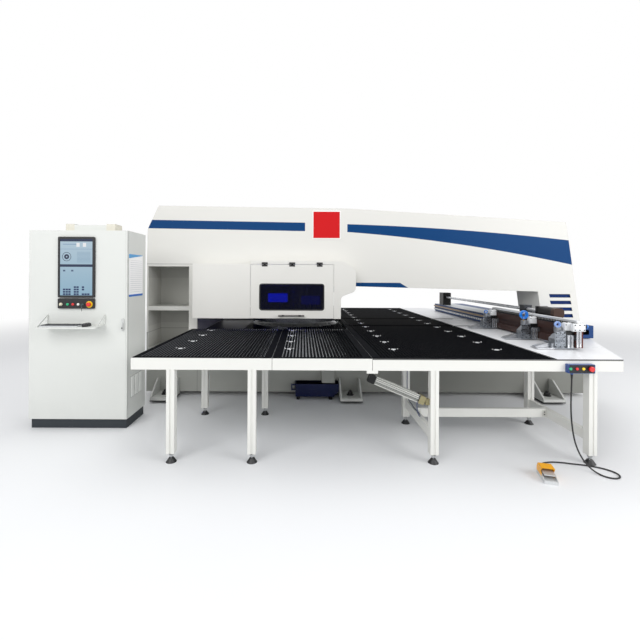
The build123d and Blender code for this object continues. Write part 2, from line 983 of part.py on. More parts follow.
with BuildPart() as right_brush_table:
    right_inside = (right_start + beam_wide, right_table_right)
    right_cover = (right_start + seam_gap, right_table_right, brush_margin)
    front_bed = brush_panel(right_inside, (beam_wide, slot_low), cover=right_cover)
    add(front_bed.part)
    add(mirrored(front_bed))
    centre_cover = (right_start + seam_gap, right_table_right, slot_high)
    centre_bed = brush_panel(right_inside, (slot_high, table_depth - slot_high), cover=centre_cover)
    add(centre_bed.part)
keep(right_brush_table, "right_brush_table")

# Steel plate on the right, with slots over the guide rails
with BuildPart() as plate_front:
    with BuildSketch(Plane.XY.offset(beam_top)):
        with BuildLine():
            Polyline(
                (right_table_right, 0),
                (plate_front_right, 0),
                (plate_wing_x, plate_wing_y),
                (plate_wing_x, slot_low),
                (right_table_right, slot_low),
                close=True,
            )
        make_face()
    extrude(amount=edge_drop)
with BuildPart() as steel_plate:
    add(plate_front.part)
    add(mirrored(plate_front))
    block(
        (right_table_right, plate_wing_x),
        (slot_high, table_depth - slot_high),
        (beam_top, table_height),
    )
keep(steel_plate, "steel_plate")


# Ball transfers between the brushes: a plate with a ball standing just proud of the bristles
with BuildPart() as ball_transfers:
    ball_centre_z = table_height + ball_proud - ball_radius
    with BuildSketch(Plane.XY.offset(tray_bottom + tray_thick)):
        with Locations(*balls):
            Rectangle(ball_plate, ball_plate)
    extrude(amount=ball_centre_z - tray_bottom - tray_thick)
    with BuildPart(mode=Mode.PRIVATE) as ball:
        with BuildSketch(Plane.XZ):
            with BuildLine():
                Line((0, 0), (ball_radius, 0))
                CenterArc((0, 0), ball_radius, 0, 90)
                Line((0, ball_radius), (0, 0))
            make_face()
        revolve(axis=Axis.Z)
    with Locations(*[(x, y, ball_centre_z) for x, y in balls]):
        add(ball.part)
keep(ball_transfers, "ball_transfers")

# Guide rails for the gantry, on the base below the slots
with BuildPart() as guide_rails:
    for rail_y in rail_ys:
        block(
            (rail_left, rail_right),
            (rail_y - rail_width / 2, rail_y + rail_width / 2),
            (base_top, base_top + rail_height),
        )
keep(guide_rails, "guide_rails")

# Gantry beam: a wide welded box on four guide blocks, with two side rails for the carriage
with BuildPart() as gantry_beam:
    with BuildSketch(front_plane(gantry_near)) as section:
        with Locations(((gantry_left + gantry_right) / 2, (gantry_bottom + gantry_top) / 2)):
            Rectangle(gantry_right - gantry_left, gantry_top - gantry_bottom)
        chamfer(section.vertices().group_by(Axis.Y)[-1], edge_drop)
    extrude(amount=-(gantry_far - gantry_near))
    with BuildSketch(front_plane(gantry_near)):
        pocket_z = (gantry_bottom + gantry_top) / 2 - edge_drop
        with Locations((end_pocket_right - end_pocket_width / 2, pocket_z)):
            RectangleRounded(end_pocket_width, end_pocket_height, end_pocket_height / 4)
    extrude(amount=-end_pocket_depth, mode=Mode.SUBTRACT)
    for rail_z in side_rail_zs:
        block(
            (gantry_left - side_rail_reach, gantry_left),
            (gantry_near + bracket_thick, gantry_far - bracket_thick),
            (rail_z - side_rail_height / 2, rail_z + side_rail_height / 2),
        )
    for rail_y in rail_ys:
        for block_x in (gantry_left + side_rail_reach, gantry_right - side_rail_reach - guide_length):
            with BuildSketch(side_plane(block_x)):
                with Locations((rail_y, (guide_bottom + gantry_bottom) / 2)):
                    Rectangle(guide_width, gantry_bottom - guide_bottom)
                with Locations((rail_y, base_top + rail_height / 2)):
                    Rectangle(rail_width + 2 * face_gap, rail_height + 2 * face_gap, mode=Mode.SUBTRACT)
            extrude(amount=guide_length)
keep(gantry_beam, "gantry_beam")

# Carriage screw above the beam, with its motor and bearing
screw_plane = front_plane(motor_near + motor_length)
screw_start = motor_near + motor_length + face_gap
screw_end = bearing_near + bearing_length - face_gap
with BuildPart() as carriage_screw:
    with BuildSketch(front_plane(screw_start)):
        with Locations((screw_x, screw_z)):
            Circle(screw_radius)
    extrude(amount=-(screw_end - screw_start))
keep(carriage_screw, "carriage_screw")

with BuildPart() as screw_motor:
    with BuildSketch(front_plane(motor_near)):
        with Locations((screw_x, screw_z)):
            RectangleRounded(2 * motor_radius, 2 * motor_radius, motor_corner)
    extrude(amount=-motor_length)
    with BuildSketch(screw_plane):
        with Locations((screw_x, (gantry_top + screw_z + motor_radius) / 2)):
            Rectangle(bracket_width, screw_z + motor_radius - gantry_top)
    extrude(amount=-bracket_thick)
    with BuildSketch(screw_plane):
        with Locations((screw_x, screw_z)):
            Circle(screw_radius + shaft_gap)
    extrude(amount=-bracket_thick, mode=Mode.SUBTRACT)
    with BuildSketch(front_plane(bearing_near)):
        with Locations((screw_x, (gantry_top + bearing_top) / 2)):
            Rectangle(bearing_width, bearing_top - gantry_top)
        with Locations((screw_x, screw_z)):
            Circle(screw_radius + shaft_gap, mode=Mode.SUBTRACT)
    extrude(amount=-bearing_length)
keep(screw_motor, "screw_motor")

# Carriage bar with its scale strip, guide blocks on the side rails and the arm to the nut
groove_z = (bar_bottom + bar_top) / 2
bar_right = bar_left + bar_width
with BuildPart() as carriage_bar:
    with BuildSketch(front_plane(bar_near)):
        with Locations((bar_left + bar_width / 2, groove_z)):
            Rectangle(bar_width, bar_top - bar_bottom)
        with Locations((bar_left + bar_groove_depth / 2, groove_z)):
            Rectangle(bar_groove_depth, bar_groove_height, mode=Mode.SUBTRACT)
        with Locations((bar_left + bar_width / 2, bar_top + bar_strip / 2)):
            Rectangle(bar_width / 2, bar_strip)
        with Locations((bar_left + bar_width / 2, bar_top + bar_strip + bar_cap / 2)):
            Rectangle(bar_cap_width, bar_cap)
    extrude(amount=-(bar_far - bar_near))
    for block_y in block_ys:
        with BuildSketch(front_plane(block_y)):
            for rail_z in side_rail_zs:
                with Locations(((bar_right + gantry_left - face_gap) / 2, rail_z)):
                    Rectangle(gantry_left - face_gap - bar_right, block_height)
                with Locations((gantry_left - side_rail_reach / 2, rail_z)):
                    Rectangle(
                        side_rail_reach + 2 * face_gap, side_rail_height + 2 * face_gap, mode=Mode.SUBTRACT
                    )
        extrude(amount=-block_length)
    arm_bottom = gantry_top + 2 * jaw_pin_radius
    block(
        (bar_right, screw_x + nut_size / 2),
        (nut_near, nut_near + nut_length),
        (arm_bottom, arm_bottom + arm_thick),
    )
    with BuildSketch(front_plane(nut_near)):
        with Locations((screw_x, (arm_bottom + arm_thick + screw_z + nut_size / 2) / 2)):
            Rectangle(nut_size, screw_z + nut_size / 2 - arm_bottom - arm_thick)
    extrude(amount=-nut_length)
    with BuildSketch(front_plane(nut_near)):
        with Locations((screw_x, screw_z)):
            Circle(screw_radius + face_gap)
    extrude(amount=-nut_length, mode=Mode.SUBTRACT)
keep(carriage_bar, "carriage_bar")

# Sheet clamps: a body on the bar, a hinged upper jaw on a pin, a cylinder and a locking lever
clamp_back = bar_left - face_gap
groove_low = groove_z - bar_groove_height / 2
cheek = (clamp_width - clamp_jaw_width) / 2 - jaw_gap / 2
for number, clamp_y in enumerate(clamp_ys, 1):
    clamp_near = clamp_y - clamp_width / 2
    with BuildPart() as clamp_body:
        with BuildSketch(front_plane(clamp_near)):
            with BuildLine():
                Polyline(
                    (clamp_tip, clamp_base),
                    (clamp_back, clamp_base),
                    (clamp_back, clamp_top),
                    (clamp_body_front + cheek_reach, clamp_top),
                    (clamp_body_front, clamp_top - cheek_reach),
                    (clamp_body_front, clamp_base + clamp_base_thick),
                    (clamp_tip, clamp_base + clamp_base_thick),
                    close=True,
                )
            make_face()
        extrude(amount=-clamp_width)
        for cheek_y in (clamp_near, clamp_near + clamp_width - cheek):
            block(
                (clamp_body_front - cheek_reach, clamp_body_front),
                (cheek_y, cheek_y + cheek),
                (clamp_base + clamp_base_thick, jaw_pivot_z + 3 * jaw_pin_radius),
            )
        with BuildSketch(front_plane(clamp_near)):
            with Locations((jaw_pivot_x, jaw_pivot_z)):
                Circle(jaw_pin_radius)
        extrude(amount=-clamp_width)
        block(
            (clamp_back, clamp_back + bar_groove_depth - 2 * face_gap),
            (clamp_near, clamp_near + clamp_width),
            (groove_low + face_gap, clamp_top),
        )
        with BuildSketch(Plane.XY.offset(clamp_top)):
            with Locations((clamp_body_front + clamp_can_radius + cheek_reach / 2, clamp_y)):
                Circle(clamp_can_radius)
        extrude(amount=clamp_can_height)
        block(
            (clamp_body_front + cheek_reach, clamp_back),
            (clamp_near - clamp_base_thick / 2, clamp_near),
            (clamp_base + clamp_base_thick, clamp_top + cheek_reach),
        )
        lever_x = clamp_back - 4 * lever_radius
        with BuildSketch(Plane.XY.offset(clamp_top)):
            with Locations((lever_x, clamp_y)):
                Circle(1.5 * lever_radius)
        extrude(amount=clamp_can_height / 2)
        lever_foot = (lever_x, clamp_y, clamp_top + clamp_can_height / 2)
        with BuildSketch(Plane(origin=lever_foot, z_dir=lever_lean)):
            Circle(lever_radius)
        extrude(amount=lever_length)
    keep(clamp_body, f"clamp_body_{number}")
    jaw_bottom = clamp_base + clamp_base_thick + jaw_gap
    with BuildPart() as clamp_jaw:
        with BuildSketch(front_plane(clamp_y - clamp_jaw_width / 2)):
            with BuildLine():
                Polyline(
                    (clamp_tip, jaw_bottom),
                    (jaw_pivot_x - jaw_pin_radius, jaw_bottom),
                    (jaw_pivot_x + jaw_heel_reach, jaw_pivot_z - jaw_heel_drop),
                    (jaw_pivot_x + jaw_heel_reach, jaw_pivot_z + jaw_heel_rise),
                    (jaw_pivot_x - cheek_reach, jaw_pivot_z + jaw_nose_rise),
                    (clamp_tip, jaw_bottom + jaw_pin_radius),
                    close=True,
                )
            make_face()
            with Locations((jaw_pivot_x, jaw_pivot_z)):
                Circle(jaw_pin_radius + shaft_gap, mode=Mode.SUBTRACT)
        extrude(amount=-clamp_jaw_width)
    keep(clamp_jaw, f"clamp_jaw_{number}")

# Control cabinet: plinth, sheet body open in front, mounting plate with three rows of units
body_front = cabinet_front + cabinet_door_thick + face_gap
cabinet_middle_x = cabinet_left + cabinet_width / 2
with BuildPart() as cabinet_body:
    block((cabinet_left, cabinet_right), (body_front, cabinet_back), (plinth_height, cabinet_height))
    offset(amount=-cabinet_wall, openings=cabinet_body.faces().sort_by(Axis.Y)[:1])
    block(
        (cabinet_left + plinth_inset, cabinet_right - plinth_inset),
        (body_front, cabinet_back - plinth_inset),
        (0, plinth_height),
    )
    plate_back = cabinet_back - cabinet_wall
    with BuildSketch(front_plane(plate_back)):
        with Locations((cabinet_middle_x, (plinth_height + cabinet_height) / 2)):
            plate_height = cabinet_height - plinth_height - 4 * panel_plate_gap
            Rectangle(cabinet_width - 4 * panel_plate_gap, plate_height)
    extrude(amount=panel_plate_thick)
    with BuildSketch(front_plane(plate_back - panel_plate_thick)):
        with Locations((cabinet_middle_x, (plinth_height + cabinet_height) / 2)):
            with GridLocations(drive_pitch, drive_row_pitch, drive_columns, drive_rows):
                Rectangle(drive_width, drive_height)
    extrude(amount=drive_reach)
    vent_y = (vent_front, vent_front + vent_depth)
    vent_right = vent_left + vent_width
    block((vent_left, vent_right), vent_y, (cabinet_height, cabinet_height + vent_height))
    for cap_left in (vent_left, vent_right - vent_cap_width):
        cap_z = (cabinet_height, cabinet_height + vent_cap_height)
        block((cap_left, cap_left + vent_cap_width), vent_y, cap_z)
    # Pressed louvres low on the right side
    with BuildSketch(side_plane(cabinet_right)):
        for row in range(side_louvre_count):
            louvre_y = side_louvre_front + side_louvre_width / 2 + row * side_louvre_pitch
            with Locations((louvre_y, side_louvre_bottom + side_louvre_height / 2)):
                Rectangle(side_louvre_width, side_louvre_height)
    extrude(amount=side_louvre_proud, taper=side_louvre_taper)
keep(cabinet_body, "cabinet_body")

with BuildPart() as side_cooler:
    cooler_front = cabinet_front + (cabinet_depth - cooler_depth) / 2 + cabinet_door_thick
    block(
        (cabinet_left - cooler_reach, cabinet_left),
        (cooler_front, cooler_front + cooler_depth),
        (cooler_bottom, cooler_top),
    )
    chamfer(side_cooler.faces().sort_by(Axis.X)[0].edges(), plinth_inset)
keep(side_cooler, "side_cooler")

with BuildPart() as cabinet_door:
    with BuildSketch(front_plane(cabinet_front)):
        with Locations((cabinet_middle_x, (plinth_height + cabinet_height) / 2)):
            Rectangle(cabinet_width, cabinet_height - plinth_height - 2 * door_gap)
    extrude(amount=-cabinet_door_thick)
keep(cabinet_door, "cabinet_door")

with BuildPart() as door_latch:
    with BuildSketch(front_plane(cabinet_front - face_gap)):
        with Locations((latch_x, latch_z)):
            SlotCenterToCenter(latch_height - latch_width, latch_width, rotation=90)
    extrude(amount=latch_width / 3)
    with BuildSketch(front_plane(cabinet_front - face_gap - latch_width / 3)):
        with Locations((latch_x, latch_z - latch_width / 2)):
            SlotCenterToCenter(latch_height / 2, latch_width / 2, rotation=90)
    extrude(amount=latch_width / 2)
keep(door_latch, "door_latch")


def button(x, y, z, radius, proud, travel, name):
    """Push button in a hole, so that it can travel into the panel."""
    with BuildPart() as cap:
        with BuildSketch(front_plane(y + 2 * travel)):
            with Locations((x, z)):
                Circle(radius)
        extrude(amount=2 * travel + proud)
        fillet(cap.edges().group_by(Axis.Y)[0], proud / 4)
    keep(cap, name)


def stop_button(x, y, z, radius, name):
    """Mushroom head on a stem, clear of the panel by its travel."""
    with BuildPart() as head:
        with BuildSketch(front_plane(y + 2 * stop_travel)):
            with Locations((x, z)):
                Circle(radius / 2)
        extrude(amount=2 * stop_travel + stop_proud)
        with BuildSketch(front_plane(y - 2 * stop_travel)):
            with Locations((x, z)):
                Circle(radius)
        extrude(amount=stop_proud - 2 * stop_travel)
        fillet(head.edges().group_by(Axis.Y)[0], radius / 4)
    keep(head, name)


# Operator panel: the monitor's housing above, the button strip below
panel_front = cabinet_front - monitor_thick
strip_top = monitor_bottom - strip_gap
monitor_middle_x = monitor_left + monitor_width / 2
with BuildPart() as operator_panel:
    with BuildSketch(front_plane(panel_front)):
        with Locations((monitor_middle_x, monitor_bottom + monitor_height / 2)):
            RectangleRounded(monitor_width, monitor_height, monitor_bezel / 2)
        with Locations((monitor_middle_x, (strip_bottom + strip_top) / 2)):
            RectangleRounded(monitor_width, strip_top - strip_bottom, monitor_bezel / 2)
    extrude(amount=-monitor_thick)
    with BuildSketch(front_plane(panel_front)):
        with Locations((monitor_middle_x, monitor_bottom + monitor_height / 2)):
            Rectangle(monitor_width - 2 * monitor_bezel, monitor_height - 2 * monitor_bezel)
    extrude(amount=-screen_recess, mode=Mode.SUBTRACT)
    with BuildSketch(front_plane(panel_front)):
        with Locations((stop_x, button_z)):
            Circle(stop_ring_radius)
    extrude(amount=stop_ring_thick)
    with BuildSketch(front_plane(panel_front - stop_ring_thick)):
        with Locations(*[(x, button_z) for x in (green_x, red_x, white_x)]):
            Circle(button_radius + face_gap)
        with Locations((knob_x, button_z), (key_x, button_z)):
            Circle(button_radius / 2 + face_gap)
        with Locations((stop_x, button_z)):
            Circle(stop_radius / 2 + face_gap)
    extrude(amount=-(stop_ring_thick + 3 * stop_travel), mode=Mode.SUBTRACT)
keep(operator_panel, "operator_panel")

button(green_x, panel_front, button_z, button_radius, button_proud, button_travel, "green_button")
button(red_x, panel_front, button_z, button_radius, button_proud, button_travel, "red_button")
button(white_x, panel_front, button_z, button_radius, button_proud, button_travel, "white_button")
stop_button(stop_x, panel_front, button_z, stop_radius, "panel_stop")

with BuildPart() as mode_knob:
    with BuildSketch(front_plane(panel_front + 2 * button_travel)):
        with Locations((knob_x, button_z)):
            Circle(button_radius / 2)
    extrude(amount=2 * button_travel + button_proud)
    with BuildSketch(front_plane(panel_front - face_gap)):
        with Locations((knob_x, button_z)):
            Circle(knob_radius)
    extrude(amount=button_proud)
    with BuildSketch(front_plane(panel_front - button_proud)):
        with Locations((knob_x, button_z)):
            SlotOverall(knob_grip_length, knob_grip_width, rotation=knob_grip_turn)
    extrude(amount=button_proud)
keep(mode_knob, "mode_knob")

# Key switch: the turning core with its key, and the second key hanging from the ring
with BuildPart() as key_switch:
    with BuildSketch(front_plane(panel_front + 2 * button_travel)):
        with Locations((key_x, button_z)):
            Circle(button_radius / 2)
    extrude(amount=2 * button_travel + button_proud / 2)
    with BuildSketch(side_plane(key_x - stop_ring_thick / 2)):
        with BuildLine():
            Polyline(
                (panel_front, button_z - key_shank_half),
                (panel_front, button_z + key_shank_half),
                (panel_front - 2 * button_proud, button_z + key_shank_half),
                (panel_front - 2 * button_proud, button_z + key_bow_half),
                (panel_front - 4 * button_proud, button_z + key_bow_half),
                (panel_front - 4 * button_proud, button_z - key_bow_half),
                (panel_front - 3 * button_proud, button_z - key_bow_half),
                (panel_front - 3 * button_proud, button_z - key_hang),
                (panel_front - 2.5 * button_proud, button_z - key_hang),
                (panel_front - 2 * button_proud, button_z - key_bow_half),
                (panel_front - 2 * button_proud, button_z - key_shank_half),
                close=True,
            )
        make_face()
    extrude(amount=stop_ring_thick)
keep(key_switch, "key_switch")

# Keyboard tray: a folded sheet between two triangular brackets on the door
tray_bottom_z = tray_top - tray_sheet
tray_front = cabinet_front - tray_reach
with BuildPart() as keyboard_tray:
    block((tray_left, tray_left + tray_width), (tray_front, cabinet_front), (tray_bottom_z, tray_top))
    block(
        (tray_left, tray_left + tray_width),
        (tray_front, tray_front + tray_sheet),
        (tray_top - tray_lip, tray_bottom_z),
    )
    for bracket_x in (tray_left, tray_left + tray_width - tray_sheet):
        with BuildSketch(side_plane(bracket_x)):
            with BuildLine():
                Polyline(
                    (cabinet_front, tray_top),
                    (cabinet_front, tray_apex),
                    (cabinet_front - tray_lip, tray_apex),
                    (tray_front + tray_lip, tray_top),
                    close=True,
                )
            make_face()
            offset(amount=-tray_lip, mode=Mode.SUBTRACT)
        extrude(amount=tray_sheet)
keep(keyboard_tray, "keyboard_tray")

with BuildPart() as keyboard:
    keyboard_middle = (tray_left + tray_lip + keyboard_length / 2, tray_front + tray_reach / 2)
    key_step_x = keyboard_length / (key_columns + 1)
    key_step_y = keyboard_width / (key_rows + 1)
    with BuildSketch(Plane.XY.offset(tray_top)):
        with Locations(keyboard_middle):
            RectangleRounded(keyboard_length, keyboard_width, tray_lip / 2)
    extrude(amount=keyboard_case_height)
    with BuildSketch(Plane.XY.offset(tray_top + keyboard_case_height)):
        with Locations(keyboard_middle):
            with GridLocations(key_step_x, key_step_y, key_columns, key_rows):
                Rectangle(key_step_x - seam_gap, key_step_y - seam_gap)
    extrude(amount=keyboard_height - keyboard_case_height)
keep(keyboard, "keyboard")

with BuildPart() as mouse:
    mouse_x = tray_left + tray_lip + keyboard_length + mouse_width
    with BuildSketch(Plane.XY.offset(tray_top)):
        with Locations((mouse_x, tray_front + tray_reach / 2)):
            RectangleRounded(mouse_width, mouse_length, mouse_corner)
    extrude(amount=mouse_height)
    fillet(mouse.edges().group_by(Axis.Z)[-1], mouse_height / 2)
keep(mouse, "mouse")

# Control box on the front beam
with BuildPart() as control_box:
    with BuildSketch(front_plane(-box_reach)):
        with Locations((box_left + box_width / 2, box_bottom + box_height / 2)):
            RectangleRounded(box_width, box_height, tray_sheet)
    extrude(amount=-box_reach)
    with BuildSketch(front_plane(-box_reach)):
        with Locations(*[(x, box_button_z) for x in box_buttons]):
            Circle(box_button_radius + face_gap)
        with Locations((box_stop_x, box_button_z)):
            Circle(box_stop_radius / 2 + face_gap)
    extrude(amount=-3 * stop_travel, mode=Mode.SUBTRACT)
    with BuildSketch(Plane.XY.offset(box_bottom)):
        with Locations((cable_x, -box_reach / 2)):
            Circle(gland_radius)
    extrude(amount=-gland_length)
keep(control_box, "control_box")

for box_x, box_name in zip(box_buttons, ("box_green", "box_red", "box_yellow")):
    button(box_x, -box_reach, box_button_z, box_button_radius, button_proud, button_travel, box_name)
stop_button(box_stop_x, -box_reach, box_button_z, box_stop_radius, "box_stop")

# Foot pedal: a cast base with an open-fronted hood over the treadle
pedal_plane = Plane(
    origin=(pedal_x, pedal_y, 0),
    x_dir=(math.cos(pedal_angle), math.sin(pedal_angle), 0),
    z_dir=(0, 0, 1),
)
pedal_side = Plane(origin=pedal_plane.origin, x_dir=pedal_plane.y_dir, z_dir=pedal_plane.x_dir)
with BuildPart() as foot_pedal:
    with BuildSketch(pedal_side.offset(-pedal_width / 2)):
        with BuildLine():
            Polyline(
                (-pedal_length / 2, 0),
                (pedal_length / 2, 0),
                (pedal_length / 2, pedal_height * pedal_back_share),
                (pedal_length / 2 - pedal_base_height, pedal_height),
                (-pedal_hood_reach, pedal_height),
                (0, pedal_height * pedal_back_share),
                (-pedal_length / 2 + pedal_base_height, pedal_side_height),
                (-pedal_length / 2, pedal_base_height),
                close=True,
            )
        make_face()
    extrude(amount=pedal_width)
    with BuildSketch(pedal_side.offset(-pedal_width / 2 + pedal_wall)):
        with BuildLine():
            Polyline(
                (-pedal_length / 2, pedal_base_height),
                (pedal_length / 2 - pedal_wall, pedal_base_height),
                (pedal_length / 2 - pedal_wall, pedal_height * pedal_back_share - pedal_wall),
                (pedal_length / 2 - pedal_base_height, pedal_height - pedal_wall),
                (-pedal_length / 2, pedal_height - pedal_wall),
                close=True,
            )
        make_face()
    extrude(amount=pedal_width - 2 * pedal_wall, mode=Mode.SUBTRACT)
    gland_plane = Plane(
        origin=pedal_plane.from_local_coords((0, pedal_length / 2, pedal_base_height / 2)),
        z_dir=pedal_plane.y_dir,
    )
    with BuildSketch(gland_plane):
        Circle(gland_radius)
    extrude(amount=gland_length)
keep(foot_pedal, "foot_pedal")

treadle_width = pedal_width - 2 * pedal_wall - 2 * seam_gap
treadle_bottom = pedal_base_height + 2 * treadle_thick
treadle_back = pedal_length / 2 - pedal_base_height
with BuildPart() as treadle:
    with BuildSketch(pedal_side.offset(-treadle_width / 2)):
        with BuildLine():
            Polyline(
                (-pedal_length / 2 + pedal_base_height, treadle_bottom),
                (treadle_back, treadle_bottom),
                (treadle_back, treadle_bottom + treadle_thick),
                (-pedal_length / 2 + pedal_base_height, treadle_bottom + treadle_thick / 2),
                close=True,
            )
        make_face()
    extrude(amount=treadle_width)
    pin_length = pedal_width - 2 * pedal_wall - 2 * face_gap
    with BuildSketch(pedal_side.offset(-pin_length / 2)):
        with Locations((treadle_back - treadle_thick / 2, treadle_bottom + treadle_thick / 2)):
            Circle(treadle_thick * treadle_pin_share)
    extrude(amount=pin_length)
keep(treadle, "treadle")


def routed(points, diameter, name):
    """A cord along straight runs joined by arcs as large as the runs allow; prints its radii."""
    radii = []
    for before, here, after in zip(points, points[1:], points[2:]):
        run_in = Vector(*here) - Vector(*before)
        run_out = Vector(*after) - Vector(*here)
        half_turn = math.radians(run_in.get_angle(run_out)) / 2
        radii.append(cord_arc_share * min(run_in.length, run_out.length) / math.tan(half_turn))
    with BuildPart() as tube:
        with BuildLine():
            path = FilletPolyline(*points, radius=radii)
        with BuildSketch(Plane(origin=path @ 0, z_dir=path % 0)):
            Circle(diameter / 2)
        sweep()
    keep(tube, name)
    print(name, "length", round(path.length), "radii", [round(r) for r in radii])
    section = math.pi * diameter**2 / 4
    print(name, "volume over section times length", tube.part.volume / path.length / section)


gland_out = pedal_plane.from_local_coords((0, pedal_length / 2 + gland_length, pedal_base_height / 2))
lead_y = pedal_length / 2 + gland_length + cord_lead
gland_next = pedal_plane.from_local_coords((0, lead_y, pedal_base_height / 2))
cable_points = [
    (cable_x, -box_reach / 2, box_bottom - gland_length),
    (cable_x, -box_reach / 2, 700),
    (2384, -24, 590),
    (2380, -28, 470),
    (2386, -33, 350),
    (2400, -40, 235),
    (2424, -52, 145),
    (2455, -72, 75),
    (2487, -104, 28),
    (2512, -148, 9),
    (2540, -203, 7),
    (2600, -228, 7),
    (2662, -198, 7),
    (2678, -138, 7),
    (2640, -80, 7),
    (2575, -36, 7),
    (2500, -8, 7),
    (2418, 10, 7),
    (2341, 34, 7),
    (2250, 42, 7),
    (2172, 20, 7),
    (2122, -24, 9),
    tuple(gland_next),
    tuple(gland_out),
]
routed(cable_points, cable_diameter, "pedal_cable")

# Air cylinder slung between the seam plate and the leg, with its hose along the side brace
cylinder_run = Vector(cylinder_low_x - cylinder_top_x, 0, cylinder_low_z - cylinder_top_z)
cylinder_plane = Plane(
    origin=(cylinder_top_x, cylinder_y, cylinder_top_z), x_dir=(0, 1, 0), z_dir=cylinder_run.normalized()
)
with BuildPart() as air_cylinder:
    with BuildSketch(cylinder_plane):
        Rectangle(2 * cylinder_radius, 2 * cylinder_radius)
    extrude(amount=cylinder_cap)
    with BuildSketch(cylinder_plane.offset(cylinder_cap)):
        Circle(barrel_radius)
        with GridLocations(tie_rod_spacing, tie_rod_spacing, 2, 2):
            Circle(tie_rod_radius)
    barrel_length = cylinder_run.length - 3 * cylinder_cap
    extrude(amount=barrel_length)
    with BuildSketch(cylinder_plane.offset(cylinder_cap + barrel_length)):
        Rectangle(2 * cylinder_radius, 2 * cylinder_radius)
    extrude(amount=cylinder_cap)
    with BuildSketch(cylinder_plane.offset(2 * cylinder_cap + barrel_length)):
        Circle(cylinder_radius / 3)
    extrude(amount=cylinder_cap - cylinder_radius / 2)
    block(
        (cylinder_top_x, cylinder_top_x + cylinder_radius),
        (seam_plate_thick, cylinder_y),
        (cylinder_top_z, beam_bottom),
    )
    block(
        (cylinder_low_x - cylinder_radius, cylinder_low_x),
        (cylinder_y - cylinder_radius / 2, cylinder_y + cylinder_radius / 2),
        (cylinder_low_z - cylinder_radius / 2, cylinder_low_z + cylinder_radius),
    )
keep(air_cylinder, "air_cylinder")

port_run = cylinder_cap * 1.5 + barrel_length
port = cylinder_plane.from_local_coords((cylinder_radius, 0, port_run))
port_next = cylinder_plane.from_local_coords((cylinder_radius + cord_lead, 0, port_run))
brace_lie = brace_z + brace_height + hose_diameter / 2 + cord_lift
hose_points = [
    tuple(port),
    tuple(port_next),
    (1148, 170, 503),
    (1155, 206, 430),
    (1172, 241, 355),
    (1202, 285, 300),
    (1236, 360, brace_lie),
    (1249, 460, brace_lie),
    (1241, 570, brace_lie),
    (1249, 680, brace_lie),
    (1243, 775, brace_lie + hose_rise),
    (1246, 830, 340),
    (1243, 846, 440),
    (1247, 850, 560),
    (1244, 848, 680),
    (1244, 848, beam_bottom),
]
routed(hose_points, hose_diameter, "air_hose")

# Slug bin on small feet, with a loop handle at its left and a sloping right corner
with BuildPart() as slug_bin:
    bin_top = bin_bottom + bin_height
    with BuildSketch(front_plane(bin_front)):
        with BuildLine():
            Polyline(
                (bin_left, bin_bottom),
                (bin_left + bin_width - bin_chamfer, bin_bottom),
                (bin_left + bin_width, bin_bottom + bin_chamfer),
                (bin_left + bin_width, bin_top),
                (bin_left, bin_top),
                close=True,
            )
        make_face()
    extrude(amount=-bin_depth)
    offset(amount=-bin_wall, openings=slug_bin.faces().sort_by(Axis.Z)[-1:])
    with BuildSketch(Plane.XY):
        with Locations((bin_left + bin_width / 2 - bin_chamfer / 2, bin_front + bin_depth / 2)):
            with GridLocations(bin_width - 2 * bin_chamfer, bin_depth - bin_chamfer, 2, 2):
                Circle(bin_foot)
    extrude(amount=bin_bottom)
    # Two prongs of the grip by which it is pulled out
    for prong_z in bin_prong_zs:
        block(
            (bin_left - bin_prong_reach, bin_left),
            (bin_front + bin_prong_place, bin_front + bin_prong_place + bin_prong),
            (prong_z, prong_z + bin_prong),
        )
keep(slug_bin, "slug_bin")
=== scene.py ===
"""Looks of a turret punch press with brush tables, a sheet gantry and a control cabinet."""

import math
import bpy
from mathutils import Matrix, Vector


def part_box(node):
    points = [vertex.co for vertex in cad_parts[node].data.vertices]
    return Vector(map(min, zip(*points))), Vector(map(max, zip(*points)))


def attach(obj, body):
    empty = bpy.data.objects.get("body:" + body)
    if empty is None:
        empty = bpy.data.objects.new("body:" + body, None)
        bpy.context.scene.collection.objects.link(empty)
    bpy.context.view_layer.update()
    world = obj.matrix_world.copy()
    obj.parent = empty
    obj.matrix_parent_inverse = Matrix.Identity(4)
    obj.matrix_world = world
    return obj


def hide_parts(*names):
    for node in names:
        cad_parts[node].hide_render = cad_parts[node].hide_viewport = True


bl_info = {
    "name": "Turret Punch Press Looks",
    "version": (1, 0, 0),
    "blender": (4, 5, 0),
    "location": "View3D > Sidebar > Punch Press",
    "description": "Finishes, trims, cords and a studio for a turret punch press",
    "category": "Object",
}

import bpy
from bpy.props import FloatProperty, FloatVectorProperty, PointerProperty
from mathutils import Matrix, Vector

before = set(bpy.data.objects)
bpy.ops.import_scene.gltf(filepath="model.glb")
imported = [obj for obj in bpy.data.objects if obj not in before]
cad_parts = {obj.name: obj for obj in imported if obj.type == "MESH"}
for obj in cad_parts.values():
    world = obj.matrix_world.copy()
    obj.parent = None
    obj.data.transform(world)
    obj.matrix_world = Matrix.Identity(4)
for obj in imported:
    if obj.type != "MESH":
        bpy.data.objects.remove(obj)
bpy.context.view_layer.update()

# Places of the main pieces, read from the frame, in metres
_, BASE_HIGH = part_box("base_frame")
BEAM_LOW, BEAM_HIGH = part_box("upper_beam")
COLUMN_LOW, COLUMN_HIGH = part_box("left_column")
LOUVRE_LOW, LOUVRE_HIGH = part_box("right_column")
HOOD_LOW, HOOD_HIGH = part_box("turret_hood")
DOOR_LOW, DOOR_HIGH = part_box("hood_door")
WINDOW_LOW, WINDOW_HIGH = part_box("door_window")
PLATE_LOW, PLATE_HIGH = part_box("steel_plate")
_, BED_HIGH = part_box("left_brush_table")
TABLE_LOW, TABLE_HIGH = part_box("left_table_frame")
CABINET_LOW, CABINET_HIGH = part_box("cabinet_door")
